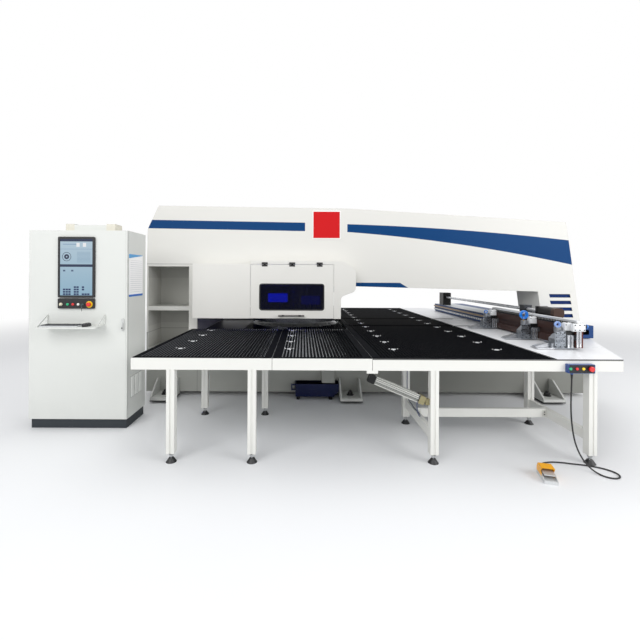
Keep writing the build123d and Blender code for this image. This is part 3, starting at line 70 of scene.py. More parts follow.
PANEL_LOW, PANEL_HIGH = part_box("operator_panel")
GANTRY_LOW, GANTRY_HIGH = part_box("gantry_beam")
BAR_LOW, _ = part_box("carriage_bar")
BOX_LOW, BOX_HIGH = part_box("control_box")
FRONT = BEAM_LOW.y
REAR = BEAM_HIGH.y
MIDDLE_Y = (FRONT + REAR) / 2
TURRET_X = sum(corner.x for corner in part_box("upper_turret")) / 2
CLAMPS = (1, 2, 3)

# The bare plaque on the beam, and the placard on the cabinet's side as (Y, Z) corners
PLAQUE_X = TURRET_X + 0.430
PLAQUE_Z = 2.279
PLAQUE_MARGIN = 0.012
PLACARD_LOW = (-1.702, 1.370)
PLACARD_HIGH = (-1.372, 1.820)


def shade(red, green, blue):
    """A colour given as on a screen, 0 to 255, turned into linear light."""
    linear = []
    for value in (red, green, blue):
        share = value / 255
        linear.append(share / 12.92 if share <= 0.04045 else ((share + 0.055) / 1.055) ** 2.4)
    return tuple(linear)


def colour(name, text, default):
    """A colour that a user can change."""
    return FloatVectorProperty(
        name=name, description=text, default=default, size=3, min=0, max=1, subtype="COLOR"
    )


def length(name, text, default):
    """A length that a user can change."""
    return FloatProperty(
        name=name, description=text, default=default, min=0, unit="LENGTH", subtype="DISTANCE"
    )


class PressColours(bpy.types.PropertyGroup):
    """Colours of the painted and moulded pieces."""

    cover: colour("Cover", "Powder coat of the frame's covers", shade(225, 224, 219))
    beam: colour("Table beam", "Powder coat of the table frames", shade(226, 226, 221))
    cabinet: colour("Cabinet", "Textured coat of the control cabinet", shade(217, 219, 215))
    stripe: colour("Stripe", "Blue band along the upper beam", shade(8, 62, 114))
    louvre: colour("Louvre", "Blue inside the louvres", shade(18, 46, 100))
    plaque: colour("Plaque", "Enamel of the bare plaque on the beam", shade(206, 20, 26))
    brush: colour("Bristle", "Nylon bristles of the tables", shade(5, 6, 10))
    plate: colour("Plate", "Ground plate below the clamps", shade(240, 241, 243))
    gantry: colour("Gantry", "Paint of the gantry beam", shade(24, 62, 116))
    bar: colour("Carriage bar", "Paint of the bar that carries the clamps", shade(56, 38, 34))
    bin: colour("Slug bin", "Paint of the slug bin", shade(8, 20, 62))
    pedal: colour("Pedal", "Paint of the foot pedal's hood", shade(250, 176, 14))


class PressSizes(bpy.types.PropertyGroup):
    """Sizes of the trims that stand on the machine."""

    soft_edge: length("Soft edge", "Radius that catches the light along folded sheet", 0.004)
    plaque_side: length("Plaque", "Side of the square plaque on the beam", 0.375)
    plaque_thick: length("Plaque thickness", "Thickness of the plaque", 0.004)
    seal_radius: length("Window seal", "Radius of the rubber round the window", 0.008)
    screw_radius: length("Screw", "Radius of a small screw head", 0.006)
    bolt_radius: length("Bolt", "Radius of a bolt head", 0.011)


class StageSizes(bpy.types.PropertyGroup):
    """The studio round the machine."""

    camera_back: length("Camera distance", "From the tables' front edge to the lens", 3.185)
    camera_height: length("Camera height", "Height of the lens over the floor", 1.592)
    camera_right: length("Camera offset", "From the turret's axis to the lens", 0.120)
    floor_radius: length("Floor", "Radius of the pale floor", 60.0)


def laid(operation, reflected=False):
    """A method that lays a Math node for one of Python's operators."""

    def method(self, *others):
        values = (*others, self) if reflected else (self, *others)
        return self.sheet.maths(operation, *values)

    return method


class Wire:
    """A socket of a material, on which Python's operators lay Math nodes."""

    def __init__(self, sheet, socket):
        self.sheet = sheet
        self.socket = socket

    __add__ = laid("ADD")
    __radd__ = laid("ADD", reflected=True)
    __sub__ = laid("SUBTRACT")
    __rsub__ = laid("SUBTRACT", reflected=True)
    __mul__ = laid("MULTIPLY")
    __rmul__ = laid("MULTIPLY", reflected=True)
    __truediv__ = laid("DIVIDE")
    __pow__ = laid("POWER")
    __mod__ = laid("FLOORED_MODULO")
    __abs__ = laid("ABSOLUTE")
    __gt__ = laid("GREATER_THAN")
    __lt__ = laid("LESS_THAN")
    __or__ = laid("MAXIMUM")

    def within(self, low, high):
        """1 between two levels."""
        return (self > low) * (self < high)

    def near(self, level, reach):
        """1 closer to a level than reach."""
        return abs(self - level) < reach

    def rise(self, low, high):
        """0 below low, 1 above high, smooth between."""
        return self.sheet.node(
            "ShaderNodeMapRange",
            {"interpolation_type": "SMOOTHSTEP", "clamp": True},
            {"Value": self, "From Min": low, "From Max": high},
        )


class Finish:
    """A material while it is laid out: its nodes, its shader and the place on the machine."""

    def __init__(self, name, rough=0.5, metal=0.0, shine=0.5):
        self.material = bpy.data.materials.new(name)
        self.material.use_nodes = True
        self.tree = self.material.node_tree
        self.shader = self.tree.nodes["Principled BSDF"]
        self.shader.inputs["Roughness"].default_value = rough
        self.shader.inputs["Metallic"].default_value = metal
        self.shader.inputs["Specular IOR Level"].default_value = shine
        self.place = self.node("ShaderNodeTexCoord", output="Object")
        self.x, self.y, self.z = self.parts(self.place)

    def node(self, kind, settings=None, sockets=None, output=0):
        """Any node: its settings first, then the values or wires of its sockets."""
        made = self.tree.nodes.new(kind)
        for name, value in (settings or {}).items():
            setattr(made, name, value)
        for name, value in (sockets or {}).items():
            self.feed(made.inputs[name], value)
        return Wire(self, made.outputs[output])

    def feed(self, socket, value):
        """Links a wire to a socket, or sets the socket's value."""
        if isinstance(value, Wire):
            self.tree.links.new(value.socket, socket)
        elif hasattr(value, "__len__") and len(value) == 3 and len(socket.default_value) == 4:
            socket.default_value = (*value, 1)
        else:
            socket.default_value = value

    def maths(self, operation, *values):
        return self.node("ShaderNodeMath", {"operation": operation}, dict(enumerate(values)))

    def parts(self, vector):
        """The three numbers of a vector."""
        split = self.node("ShaderNodeSeparateXYZ", sockets={"Vector": vector})
        outputs = split.socket.node.outputs
        return [Wire(self, outputs[name]) for name in "XYZ"]

    def facing(self):
        """The three numbers of the true normal."""
        return self.parts(self.node("ShaderNodeNewGeometry", output="True Normal"))

    def mix(self, share, first, second):
        """Colour that goes from first to second."""
        sockets = {0: share, 6: first, 7: second}
        return self.node("ShaderNodeMix", {"data_type": "RGBA"}, sockets, output=2)

    def over(self, tone, *layers):
        """Lays colours over a tone one after the other, each given as (share, colour)."""
        for share, layer in layers:
            tone = self.mix(share, tone, layer)
        return tone

    def toned(self, share, base, low, high):
        """A colour that goes with the share from low to high times its strength."""
        return self.mix(share, lighter(base, low), lighter(base, high))

    def cloud(self, size, detail=2.0, stretch=(1, 1, 1)):
        """Soft noise, 0 to 1, with patches of about the given size in metres."""
        spread = self.node("ShaderNodeMapping", sockets={"Vector": self.place, "Scale": stretch})
        sockets = {"Vector": spread, "Scale": 1 / size, "Detail": detail}
        return self.node("ShaderNodeTexNoise", sockets=sockets)

    def spangle(self, size):
        """Crystal patches as on zinc."""
        sockets = {"Vector": self.place, "Scale": 1 / size}
        return self.node("ShaderNodeTexVoronoi", sockets=sockets, output="Color")

    def rounded(self, radius, samples=4):
        """Normal that rounds off the sheet's folded edges."""
        return self.node("ShaderNodeBevel", {"samples": samples}, {"Radius": radius})

    def bump(self, height, depth, normal=None):
        """Relief of the given depth in metres."""
        sockets = {"Height": height, "Distance": depth, "Strength": 1.0}
        if normal is not None:
            sockets["Normal"] = normal
        return self.node("ShaderNodeBump", sockets=sockets)

    def done(self, **values):
        """Feeds the shader by its sockets' names, with _ for a space, and gives the material."""
        for name, value in values.items():
            self.feed(self.shader.inputs[name.replace("_", " ").title()], value)
        return self.material


def lighter(base, share):
    """The same colour, lighter or darker."""
    return tuple(min(1.0, value * share) for value in base)


def paint(name):
    """One of the colours that a user can change."""
    return tuple(getattr(bpy.context.scene.press_colours, name))


def measure(name):
    """One of the trims' sizes that a user can change."""
    return getattr(bpy.context.scene.press_sizes, name)


def foot_bolts():
    """Where the bolts of the six bracket feet stand."""
    low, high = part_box("machine_feet")
    half_width = 0.1385
    middle = TURRET_X + 0.735
    reach = 0.15
    bolt_xs = (low.x + half_width, middle, high.x - half_width)
    return [(bolt_x, bolt_y) for bolt_x in bolt_xs for bolt_y in (FRONT - reach, REAR + reach)]


# Finishes


def coated(finish, base, patch=1.4, edge=None):
    """Powder coat: slight clouding, dust towards the floor, fine orange peel and soft edges."""
    clouding = finish.cloud(patch, 3)
    dust = (1 - finish.z.rise(0.0, 0.5)) * finish.cloud(0.12, 4) * 0.35
    tone = finish.mix(dust, finish.toned(clouding, base, 0.965, 1.02), lighter(base, 0.72))
    relief = finish.bump(finish.cloud(0.004, 1), 0.00006, finish.rounded(edge or measure("soft_edge")))
    return tone, 0.36 + clouding * 0.1 + dust * 0.3, relief


def cover_white():
    """White covers of the frame, with the blue bands on its front and back, painted shade in the panel
    seams, and painted shade in the shelf, the turrets' bay and on the low cover.
    """
    finish = Finish("cover_white", shine=0.1)
    tone, rough, relief = coated(finish, paint("cover"))
    x, y, z = finish.x, finish.y, finish.z
    _, facing_y, _ = finish.facing()

    # Blue bands: one that falls gently to the plaque, a swoosh to the right, one along the lip
    band_height = 0.113
    band_fall = 0.0139
    band_top = 2.337 - (x - BEAM_LOW.x) * band_fall
    left_band = x.within(BEAM_LOW.x, TURRET_X + 0.145) * z.within(band_top - band_height, band_top)
    swoosh_start = TURRET_X + 0.706
    run = x - swoosh_start
    swoosh_top = 2.290 - run * 0.0259 - run * run * 0.0143
    swoosh_low = 2.186 - run * 0.0699 - run * run * 0.0238
    swoosh = (x > swoosh_start) * z.within(swoosh_low, swoosh_top)
    lip_low = 1.3
    lip_top = 1.514
    lip_slant = 1.65
    lip = x.within(HOOD_HIGH.x, TURRET_X + 1.410 + (lip_top - z) * lip_slant) * (z < lip_top)
    skin = 0.002
    outside = (abs(facing_y) > 0.9) * ((y < FRONT + skin) | (y > REAR - skin))
    band = (left_band | swoosh | lip) * outside * (z > lip_low)

    # Painted shade in the seams between the covers
    seam = 0.003
    seams = z.near(COLUMN_HIGH.z, seam) * (x < HOOD_LOW.x)
    seams = seams | z.near(BASE_HIGH.z, seam) * (x < COLUMN_HIGH.x)
    seams = seams | x.near(COLUMN_HIGH.x, seam) * (z < COLUMN_HIGH.z)

    # Painted shade: in the shelf, darker under each ceiling; nearly black in the turrets' bay; and on the
    # low cover's front, darker towards the right
    shelf_depth = 0.5
    wall = 0.01
    bay_wall = 0.02
    in_shelf = y.within(FRONT + wall, FRONT + shelf_depth) * z.within(0.635, 1.74)
    in_shelf = in_shelf * x.within(COLUMN_LOW.x + wall, COLUMN_HIGH.x - wall)
    ceiling = z.rise(1.555, 1.575) | z.within(0.92, 1.135)
    shelf_shade = finish.mix(ceiling * 0.5, shade(178, 178, 172), shade(132, 132, 128))
    in_bay = y.within(FRONT + bay_wall, REAR - bay_wall) * x.within(HOOD_LOW.x + bay_wall, HOOD_HIGH.x)
    in_bay = in_bay * z.within(0.7, 1.76) * (x > COLUMN_HIGH.x + 0.001)
    low_cover = (z < BASE_HIGH.z - 0.001) * (facing_y < -0.5) * (y < FRONT + 0.01)
    low_cover_shade = finish.mix(x.rise(-0.4, 1.2), shade(160, 162, 156), shade(112, 114, 108))
    tone = finish.over(
        tone,
        (low_cover * 0.8, low_cover_shade),
        (in_shelf * 0.6, shelf_shade),
        (in_bay * 0.95, shade(18, 19, 22)),
        (seams * 0.75, shade(120, 120, 118)),
        (band, paint("stripe")),
    )
    return finish.done(base_color=tone, roughness=rough, normal=relief)


def louvre_white():
    """The right column: white outside and blue inside its louvres."""
    finish = Finish("louvre_white", shine=0.1)
    tone, rough, relief = coated(finish, paint("cover"))
    facing_x, _, _ = finish.facing()
    margin = 0.1
    louvre_top = (LOUVRE_LOW.z + LOUVRE_HIGH.z) / 2 + 0.27
    inside = finish.y.within(FRONT + 0.0005, FRONT + 0.02) * (finish.x > LOUVRE_LOW.x + margin)
    inside = inside * (facing_x < 0.5) * finish.z.within(LOUVRE_LOW.z + margin, louvre_top)
    tone = finish.mix(inside, tone, paint("louvre"))
    return finish.done(base_color=tone, roughness=rough, normal=relief)


def hood_white():
    """The housing of the turrets and its door, with black hinges that stand proud in front, and painted
    shade on its inner faces.
    """
    finish = Finish("hood_white")
    tone, rough, relief = coated(finish, lighter(paint("cover"), 1.03), edge=0.003)
    _, facing_y, _ = finish.facing()
    # Painted shade: the housing's inner faces are nearly black
    inner = (facing_y > 0.5) * finish.y.within(HOOD_LOW.y + 0.02, FRONT - 0.02)
    hinge_depth = 0.0175
    hinge_height = 0.04
    hinges = (finish.y < HOOD_LOW.y + hinge_depth) * (finish.z > DOOR_HIGH.z - hinge_height)
    tone = finish.over(tone, (inner, shade(20, 21, 24)), (hinges, shade(18, 18, 20)))
    return finish.done(base_color=tone, roughness=rough, normal=relief)


def beam_white():
    """Table frames: white coat, a bare strip along the top, painted shade in the joints between the frames
    and a dark right edging.
    """
    finish = Finish("beam_white", 0.35)
    tone, rough, relief = coated(finish, paint("beam"), edge=0.003)
    x, z = finish.x, finish.z
    facing_x, facing_y, facing_z = finish.facing()
    right_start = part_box("right_table_frame")[0].x
    beam_height = 0.2
    edging_height = 0.009
    strip = (facing_z > 0.9) * (z > TABLE_HIGH.z - 0.002)
    # Painted shade: the frames' end faces are darkened in the joints between them
    joint_width = 0.006
    joints = (x.near(TABLE_HIGH.x, joint_width) | x.near(right_start, joint_width)) * (abs(facing_x) > 0.9)
    joints = joints * (z > TABLE_HIGH.z - beam_height)
    edging = (abs(facing_y) > 0.9) * (z > TABLE_HIGH.z - edging_height) * (x > right_start)
    metal = finish.mix(finish.cloud(0.02, 2, (1, 20, 1)), shade(128, 130, 132), shade(168, 170, 172))
    tone = finish.over(tone, (strip, metal), (joints | edging * 0.85, shade(26, 26, 28)))
    return finish.done(base_color=tone, roughness=rough, metallic=strip * 0.8, normal=relief)


def steel(name, base, rough=0.34, grain=(1, 1, 1), metal=1.0, stain=0.25):
    """Machined steel: grain along one way, faint stains and soft edges."""
    finish = Finish(name, rough, metal)
    lay = finish.cloud(0.004, 2, grain)
    stains = finish.cloud(0.09, 4)
    tone = finish.toned(lay, base, 0.82, 1.12)
    tone = finish.mix(stains.rise(0.55, 0.75) * stain, tone, lighter(base, 0.5))
    relief = finish.bump(lay, 0.00005, finish.rounded(0.0015))
    roughness = rough - 0.06 + lay * 0.1 + stains * 0.08
    return finish.done(base_color=tone, roughness=roughness, normal=relief)


def moulded(name, base, rough=0.45, coat=0.0, edge=0.002):
    """Moulded plastic or rubber: fine pitting, rubbed lighter here and there."""
    finish = Finish(name, rough)
    rubbed = finish.cloud(0.05, 3)
    tone = finish.toned(rubbed, base, 0.88, 1.15)
    relief = finish.bump(finish.cloud(0.0016, 1), 0.00004, finish.rounded(edge))
    roughness = rough - 0.05 + rubbed * 0.12
    return finish.done(base_color=tone, roughness=roughness, coat_weight=coat, normal=relief)


def bristle_black():
    """Brush beds: tufted black bristles over a zinc tray, with a painted sheen on the bristle tips and a
    painted glint on the left bed's flanks.
    """
    base = paint("brush")
    finish = Finish("bristle_black", shine=0.02)
    facing_x, _, facing_z = finish.facing()
    tray_depth = 0.0215
    tip_height = 0.007
    tuft_pitch = 0.018
    tray = finish.z < BED_HIGH.z - tray_depth
    tufts = finish.cloud(0.0035, 2, (1, 1, 0.15))
    across_tuft = (finish.y % tuft_pitch - tuft_pitch / 2) * 110  # -1 to 1 over a row of tufts
    # Painted sheen: up-facing bristle tips are lighter, more where the tufts stand
    tip_sheen = (facing_z > 0.5) * (0.3 + finish.cloud(0.5, 3) * 0.5) * tufts
    # Painted glint on the upper flanks of the left bed
    flanks = (abs(facing_x) > 0.5) * (finish.z > BED_HIGH.z - tip_height) * (finish.x < BED_HIGH.x)
    zinc = finish.mix(finish.cloud(0.03, 3), shade(176, 180, 184), shade(208, 211, 214))
    tone = finish.over(
        finish.toned(tip_sheen, base, 0.6, 3.0),
        (flanks * (0.2 + tufts * 0.7), shade(150, 152, 156)),
        (tray, zinc),
    )
    relief = finish.bump(tufts * 0.7 + (1 - across_tuft * across_tuft) * 0.3, 0.0012)
    rough = 0.62 - tray * 0.2 + tufts * 0.1
    return finish.done(base_color=tone, roughness=rough, metallic=tray * 0.4, normal=relief)


def ground_plate():
    """Pale ground plate with dark edges, a dashed joint and fine scratches."""
    base = paint("plate")
    finish = Finish("ground_plate", 0.36, 0.12)
    x, y = finish.x, finish.y
    _, _, facing_z = finish.facing()
    scratches = finish.cloud(0.01, 3, (0.25, 8, 1)).rise(0.62, 0.8)
    patches = finish.cloud(0.6, 3)
    dash_pitch = 0.09
    dash_length = 0.055
    joint_run = 0.72
    joint = y.near(PLATE_LOW.y + 0.55, 0.0025) * (x > PLATE_HIGH.x - joint_run)
    joint = joint * (x % dash_pitch < dash_length)
    edge = 1 - (facing_z > 0.5)
    tone = finish.over(
        finish.toned(patches, base, 0.9, 1.06),
        (scratches * 0.3, lighter(base, 1.35)),
        (joint * 0.55 | edge * 0.85, shade(42, 44, 52)),
    )
    rough = 0.3 + patches * 0.16 + scratches * 0.1
    return finish.done(base_color=tone, roughness=rough, normal=finish.bump(scratches, 0.00004))


def tinted_window():
    """Deep navy acrylic: see-through in part and glossy."""
    finish = Finish("tinted_window", 0.05, shine=0.08)
    depth = finish.cloud(0.35, 3)
    tone = finish.mix(depth, shade(1, 2, 14), shade(3, 5, 34))
    finish.material.surface_render_method = "BLENDED"
    return finish.done(base_color=tone, alpha=0.82 + depth * 0.06)


def cover_glow_blue(name, strength):
    """Painted light: the inner covers behind the window glow blue by emission, though they are no lamp."""
    finish = Finish(name, 0.4)
    tone = finish.mix(finish.cloud(0.05, 3), shade(3, 14, 200), shade(8, 36, 255))
    return finish.done(base_color=tone, emission_color=tone, emission_strength=strength)


def handle_bar():
    """Door handle: brushed bar, darker where its two posts carry it."""
    low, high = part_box("door_handle")
    finish = Finish("handle_steel", 0.3, 0.7)
    from_middle = abs(finish.x - (low.x + high.x) / 2)
    grain = finish.cloud(0.004, 2, (14, 1, 1))
    bar = finish.mix(grain, shade(92, 90, 88), shade(128, 126, 124))
    tone = finish.mix(from_middle.within(0.092, 0.120), bar, shade(24, 24, 26))
    relief = finish.bump(grain, 0.00005, finish.rounded(0.0015))
    return finish.done(base_color=tone, roughness=0.26 + grain * 0.1, normal=relief)


def turret_steel():
    """Turret discs: turned dark steel with bright rim bands and oily patches."""
    finish = Finish("turret_steel", 0.32, 1.0)
    x = finish.x - TURRET_X
    y = finish.y - MIDDLE_Y
    cuts_per_metre = 900
    bands_per_metre = 60
    turned = finish.maths("SINE", (x * x + y * y) ** 0.5 * cuts_per_metre) * 0.5 + 0.5
    _, _, facing_z = finish.facing()
    band = (1 - (abs(facing_z) > 0.5)) * ((finish.z * bands_per_metre) % 1.0 < 0.18)
    tone = finish.over(
        shade(70, 72, 76), (turned * 0.6, shade(120, 122, 126)), (band, shade(190, 192, 196))
    )
    relief = finish.bump(turned, 0.00005, finish.rounded(0.002))
    return finish.done(base_color=tone, roughness=0.2 + finish.cloud(0.15, 4) * 0.25, normal=relief)


def foot_grey():
    """Brackets of the machine's feet: grey paint, black pads and black bolts."""
    finish = Finish("foot_grey")
    tone, rough, relief = coated(finish, shade(206, 207, 203), patch=0.2, edge=0.003)
    pad_top = 0.034
    bolt_reach_squared = 0.0006
    black = finish.z < pad_top
    for bolt_x, bolt_y in foot_bolts():
        dx = finish.x - bolt_x
        dy = finish.y - bolt_y
        black = black | (dx * dx + dy * dy < bolt_reach_squared)
    tone = finish.mix(black, tone, shade(20, 20, 22))
    return finish.done(base_color=tone, roughness=rough, normal=relief)


def levelling_foot():
    """Black cone with a bright threaded stud."""
    finish = Finish("levelling_foot", 0.4)
    thread_pitch = 0.0025
    cone_top = 0.0345
    stud = finish.z > cone_top
    tone = finish.mix(stud, shade(26, 27, 29), shade(196, 198, 200))
    relief = finish.bump((finish.z % thread_pitch) / thread_pitch * stud, 0.0004)
    return finish.done(base_color=tone, roughness=0.42 - stud * 0.15, metallic=stud, normal=relief)


def gantry_blue():
    """Gantry beam: blue box, bright guide rails with bolt holes painted as dark spots of shade, and a
    black end pocket.
    """
    finish = Finish("gantry_blue", 0.36, shine=0.25)
    tone, rough, relief = coated(finish, paint("gantry"), patch=0.5, edge=0.003)
    x, y, z = finish.x, finish.y, finish.z
    _, _, facing_z = finish.facing()
    beam_left = GANTRY_LOW.x + 0.028
    hole_pitch = 0.06
    milled_width = 0.36
    blocks_top = 0.9075
    milled = (facing_z > 0.9) * (z > 1.03) * (x < beam_left + milled_width)
    rails = x < beam_left - 0.0005
    lower_rail = z < 0.985
    # Painted shade: the lower rail's bolt holes are dark spots
    holes = (y % hole_pitch).near(hole_pitch / 2, 0.008)
    rail_tone = finish.over(
        shade(150, 132, 112), (lower_rail, shade(212, 214, 216)), (holes * lower_rail, shade(60, 62, 66))
    )
    pocket = y.within(GANTRY_LOW.y + 0.0005, GANTRY_LOW.y + 0.061) * z.within(0.94, 1.005)
    pocket = pocket * x.within(GANTRY_HIGH.x - 0.2, GANTRY_HIGH.x - 0.045)
    blocks = z < blocks_top
    tone = finish.over(
        tone,
        (rails, rail_tone),
        (blocks, shade(120, 122, 126)),
        (milled, shade(204, 208, 212)),
        (pocket, shade(12, 12, 14)),
    )
    metal = (rails | blocks) * 0.75 | milled * 0.3
    return finish.done(base_color=tone, roughness=rough, metallic=metal, normal=relief)


def motor_black():
    """Screw motor: black with ribs and a brown rear cap, and the black bearing block."""
    low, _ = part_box("screw_motor")
    finish = Finish("motor_black", 0.42, shine=0.25)
    cap_length = 0.055
    rib_pitch = 0.022
    ribs = (finish.y % rib_pitch < 0.005) * finish.y.within(low.y + 0.1, low.y + 0.28)
    tone = finish.over(
        shade(13, 13, 15),
        (finish.y < low.y + cap_length, shade(62, 40, 30)),
        (finish.cloud(0.04, 3) * 0.12, shade(84, 82, 80)),
    )
    relief = finish.bump(1 - ribs, 0.003, finish.rounded(0.004))
    return finish.done(base_color=tone, roughness=0.34 + ribs * 0.2, normal=relief)


def bar_brown():
    """Carriage bar: brown paint, black graduated strip, bright cap and dark guide blocks."""
    finish = Finish("bar_brown", 0.4, shine=0.25)
    x, y, z = finish.x, finish.y, finish.z
    strip_low = 1.1225
    strip_top = 1.1602
    bar_right = BAR_LOW.x + 0.0705
    tick_pitch = 0.025
    clouds = finish.cloud(0.08, 4, (1, 0.2, 1))
    on_bar = x < bar_right
    strip = z.within(strip_low, strip_top) * on_bar
    ticks = (y % tick_pitch < 0.005) * (z > 1.138) * strip
    cap = (z > strip_top) * on_bar
    arm = x > bar_right
    tone = finish.over(
        finish.toned(clouds, paint("bar"), 0.7, 1.4),
        (y < BAR_LOW.y + 0.004, shade(92, 34, 22)),
        (strip, shade(16, 16, 18)),
        (ticks, shade(214, 214, 208)),
        (cap, shade(218, 220, 222)),
        (arm, shade(58, 60, 64)),
    )
    relief = finish.bump(clouds, 0.0002, finish.rounded(0.002))
    metal = cap * 0.4 | arm * 0.85
    return finish.done(base_color=tone, roughness=0.34 + clouds * 0.16, metallic=metal, normal=relief)


def clamp_finish(number):
    """One sheet clamp: zinc body, ground jaw, white can, black lever and a slot shown as painted shade."""
    low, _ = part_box(f"clamp_body_{number}")
    finish = Finish(f"clamp_zinc_{number}", 0.34, 0.85)
    x, z = finish.x, finish.z
    jaw_top = 0.9155
    body_top = 1.0405
    band_height = body_top + 0.018
    crystals = finish.cloud(0.012, 1)
    can = (z > body_top) * x.within(low.x + 0.155, low.x + 0.265)
    lever = (z > body_top) * (x > low.x + 0.27)
    # Painted shade: a dark upright slot in the clamp's body
    slot = z.within(jaw_top, body_top) * x.within(low.x + 0.262, low.x + 0.28)
    tone = finish.over(
        shade(128, 132, 138),
        (crystals, shade(152, 156, 162)),
        ((z < jaw_top) * (x < low.x + 0.17), shade(196, 198, 202)),
        (can, shade(150, 154, 160)),
        (can * z.near(band_height, 0.006), shade(30, 32, 36)),
        (lever, shade(16, 16, 18)),
        (slot, shade(40, 42, 46)),
    )
    metal = 0.85 - lever * 0.85 - can * 0.2
    relief = finish.bump(crystals, 0.00004, finish.rounded(0.0015))
    return finish.done(base_color=tone, roughness=0.26 + crystals * 0.2, metallic=metal, normal=relief)


def spangled_zinc():
    """Galvanised sheet: crystal patches that shine by turns, with two rows of holes shown as painted
    shade, dark spots that are not cut.
    """
    low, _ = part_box("clamp_body_1")
    finish = Finish("spangled_zinc", 0.34, 0.9)
    crystals = finish.parts(finish.spangle(0.014))[0]
    hole_pitch = 0.036
    across = abs(finish.x - (low.x + 0.216)) - hole_pitch
    up = (finish.z - 0.965) % hole_pitch - hole_pitch / 2
    # Painted shade: the holes are dark spots, not cut
    holes = (across * across + up * up < 0.00003) * finish.z.within(0.94, 1.06)
    tone = finish.over(
        shade(116, 121, 128), (crystals, shade(150, 155, 162)), (holes, shade(18, 19, 22))
    )
    relief = finish.bump(crystals, 0.00005, finish.rounded(0.001))
    rough = 0.22 + crystals * 0.22
    return finish.done(base_color=tone, roughness=rough, metallic=0.9 - holes * 0.9, normal=relief)


def cabinet_grey():
    """Control cabinet: fine structure coat, dark plinth, bright mounting plate inside and, on its side,
    painted shade along the corner fold and in the door's gap, and louvres with painted shade round them
    and a painted highlight on their proud faces."""
    finish = Finish("cabinet_grey")
    tone, rough, _ = coated(finish, paint("cabinet"), patch=0.9)
    x, y, z = finish.x, finish.y, finish.z
    skin = 0.001
    left, front, _ = CABINET_LOW
    right, door_back, door_top = CABINET_HIGH
    plinth_top = 0.0995
    plate_depth = 0.398
    side_wall = 0.06
    inside = y.within(front + 0.04, door_back + 0.42) * z.within(0.14, 2.03)
    inside = inside * x.within(left + side_wall, right - side_wall)
    units = inside * (y < door_back + plate_depth)
    vent = x.within(left + 0.422, left + 0.760)
    caps = (z > door_top + 0.0005) * (1 - vent)
    # Painted shade: a dark line along the front corner's fold and in the gap between door and body
    corner = x.within(right - 0.0165, right - 0.0140) * (y < front + skin)
    side = x > right - skin
    gap = side * y.near(door_back, 0.0025)
    lines = (corner * 0.5 | gap * 0.8) * (z < door_top)

    # Louvres: painted shade round their edges and a painted highlight on their proud faces
    louvre_pitch = 0.092
    louvre_length = 0.068
    louvre_middle = 0.41
    half_height = 0.1145
    along = (y + 1.651) % louvre_pitch
    louvres = side * y.within(-1.657, -1.391)
    upright = z.near(louvre_middle, half_height) * (along.within(0.066, 0.0715) | (along > 0.0875))
    level = (along < louvre_length) * abs(z - louvre_middle).within(half_height - 0.005, half_height)
    tone = finish.over(
        tone,
        (inside, shade(168, 172, 176)),
        (units, shade(70, 74, 80)),
        (caps, shade(216, 213, 200)),
        (lines, shade(96, 98, 97)),
        (louvres * (upright | level) * 0.6, shade(92, 94, 93)),
        (louvres * (x > right + 0.0045), shade(238, 240, 236)),
        (z < plinth_top, shade(36, 43, 49)),
    )
    relief = finish.bump(finish.cloud(0.0028, 2), 0.00018, finish.rounded(0.003))
    return finish.done(base_color=tone, roughness=rough + 0.08, normal=relief)


def panel_black():
    """Operator panel: black housing, the yellow ring of the stop button, and a lit screen of
    plain fields: a header, a ring diagram, a list and a block of keys."""
    finish = Finish("panel_black", 0.4)
    bezel = 0.022
    screen_height = 0.627
    skin = PANEL_LOW.y + 0.002
    width = PANEL_HIGH.x - PANEL_LOW.x - 2 * bezel
    height = screen_height - 2 * bezel
    across = (finish.x - (PANEL_LOW.x + bezel)) / width
    up = (finish.z - (PANEL_HIGH.z - bezel - height)) / height
    on_screen = across.within(0, 1) * up.within(0, 1) * (finish.y > skin + 0.0025)

    list_rows = up.within(0.58, 0.78) * across.within(0.52, 0.94) * ((up * 46) % 1.0 < 0.4)
    lines = up.near(0.905, 0.004) * across.within(0.08, 0.5) | up.near(0.82, 0.002)
    white_fields = up.within(0.86, 0.93) * (across.within(0.5, 0.6) | across.within(0.7, 0.8))
    header = (up > 0.955) | up.within(0.505, 0.55)
    dx = (across - 0.2) * width
    dz = (up - 0.685) * height
    ring = (dx * dx + dz * dz) ** 0.5
    diagram = ring.near(0.044, 0.0025) | ring.within(0.008, 0.026)
    columns = 12
    rows = 24
    keys = ((across * columns) % 1.0).within(0.08, 0.92) * ((up * rows) % 1.0).within(0.14, 0.86)
    blocks = up.within(0.0, 4 / rows) * across.within(5 / columns, 7 / columns)
    blocks = blocks | up.within(0.0, 3 / rows) * across.within(1 / columns, 4 / columns)
    blocks = blocks | up.within(0.0, 1 / rows) * across.within(8 / columns, 11 / columns)
    blocks = blocks | up.within(2 / rows, 4 / rows) * across.within(8 / columns, 9 / columns)
    icons = across.within(1 / columns, 2 / columns) | across.within(4 / columns, 5 / columns)
    view = finish.over(
        finish.mix(up, shade(148, 186, 208), shade(190, 212, 226)),
        (list_rows * 0.5, shade(104, 138, 170)),
        (lines * 0.8, shade(44, 92, 160)),
        (white_fields, shade(250, 250, 252)),
        (header, shade(30, 44, 76)),
        (diagram, shade(34, 44, 72)),
        (keys * (blocks | up.within(0.423, 0.46) * icons * 0.8), shade(16, 40, 92)),
    )

    stop_x = PANEL_LOW.x + 0.327
    stop_z = 1.294
    stop_radius = 0.0345
    sx = finish.x - stop_x
    sz = finish.z - stop_z
    stop_ring = ((sx * sx + sz * sz) ** 0.5 < stop_radius) * (finish.y < skin)
    tone = finish.over(
        shade(22, 22, 25), (stop_ring, shade(240, 196, 20)), (on_screen, (0.004, 0.006, 0.01))
    )
    return finish.done(
        base_color=tone,
        roughness=0.42 - on_screen * 0.3,
        emission_color=finish.mix(on_screen, (0.0, 0.0, 0.0), view),
        emission_strength=0.8,
        normal=finish.bump(finish.cloud(0.0016, 1), 0.00004, finish.rounded(0.002)),
    )


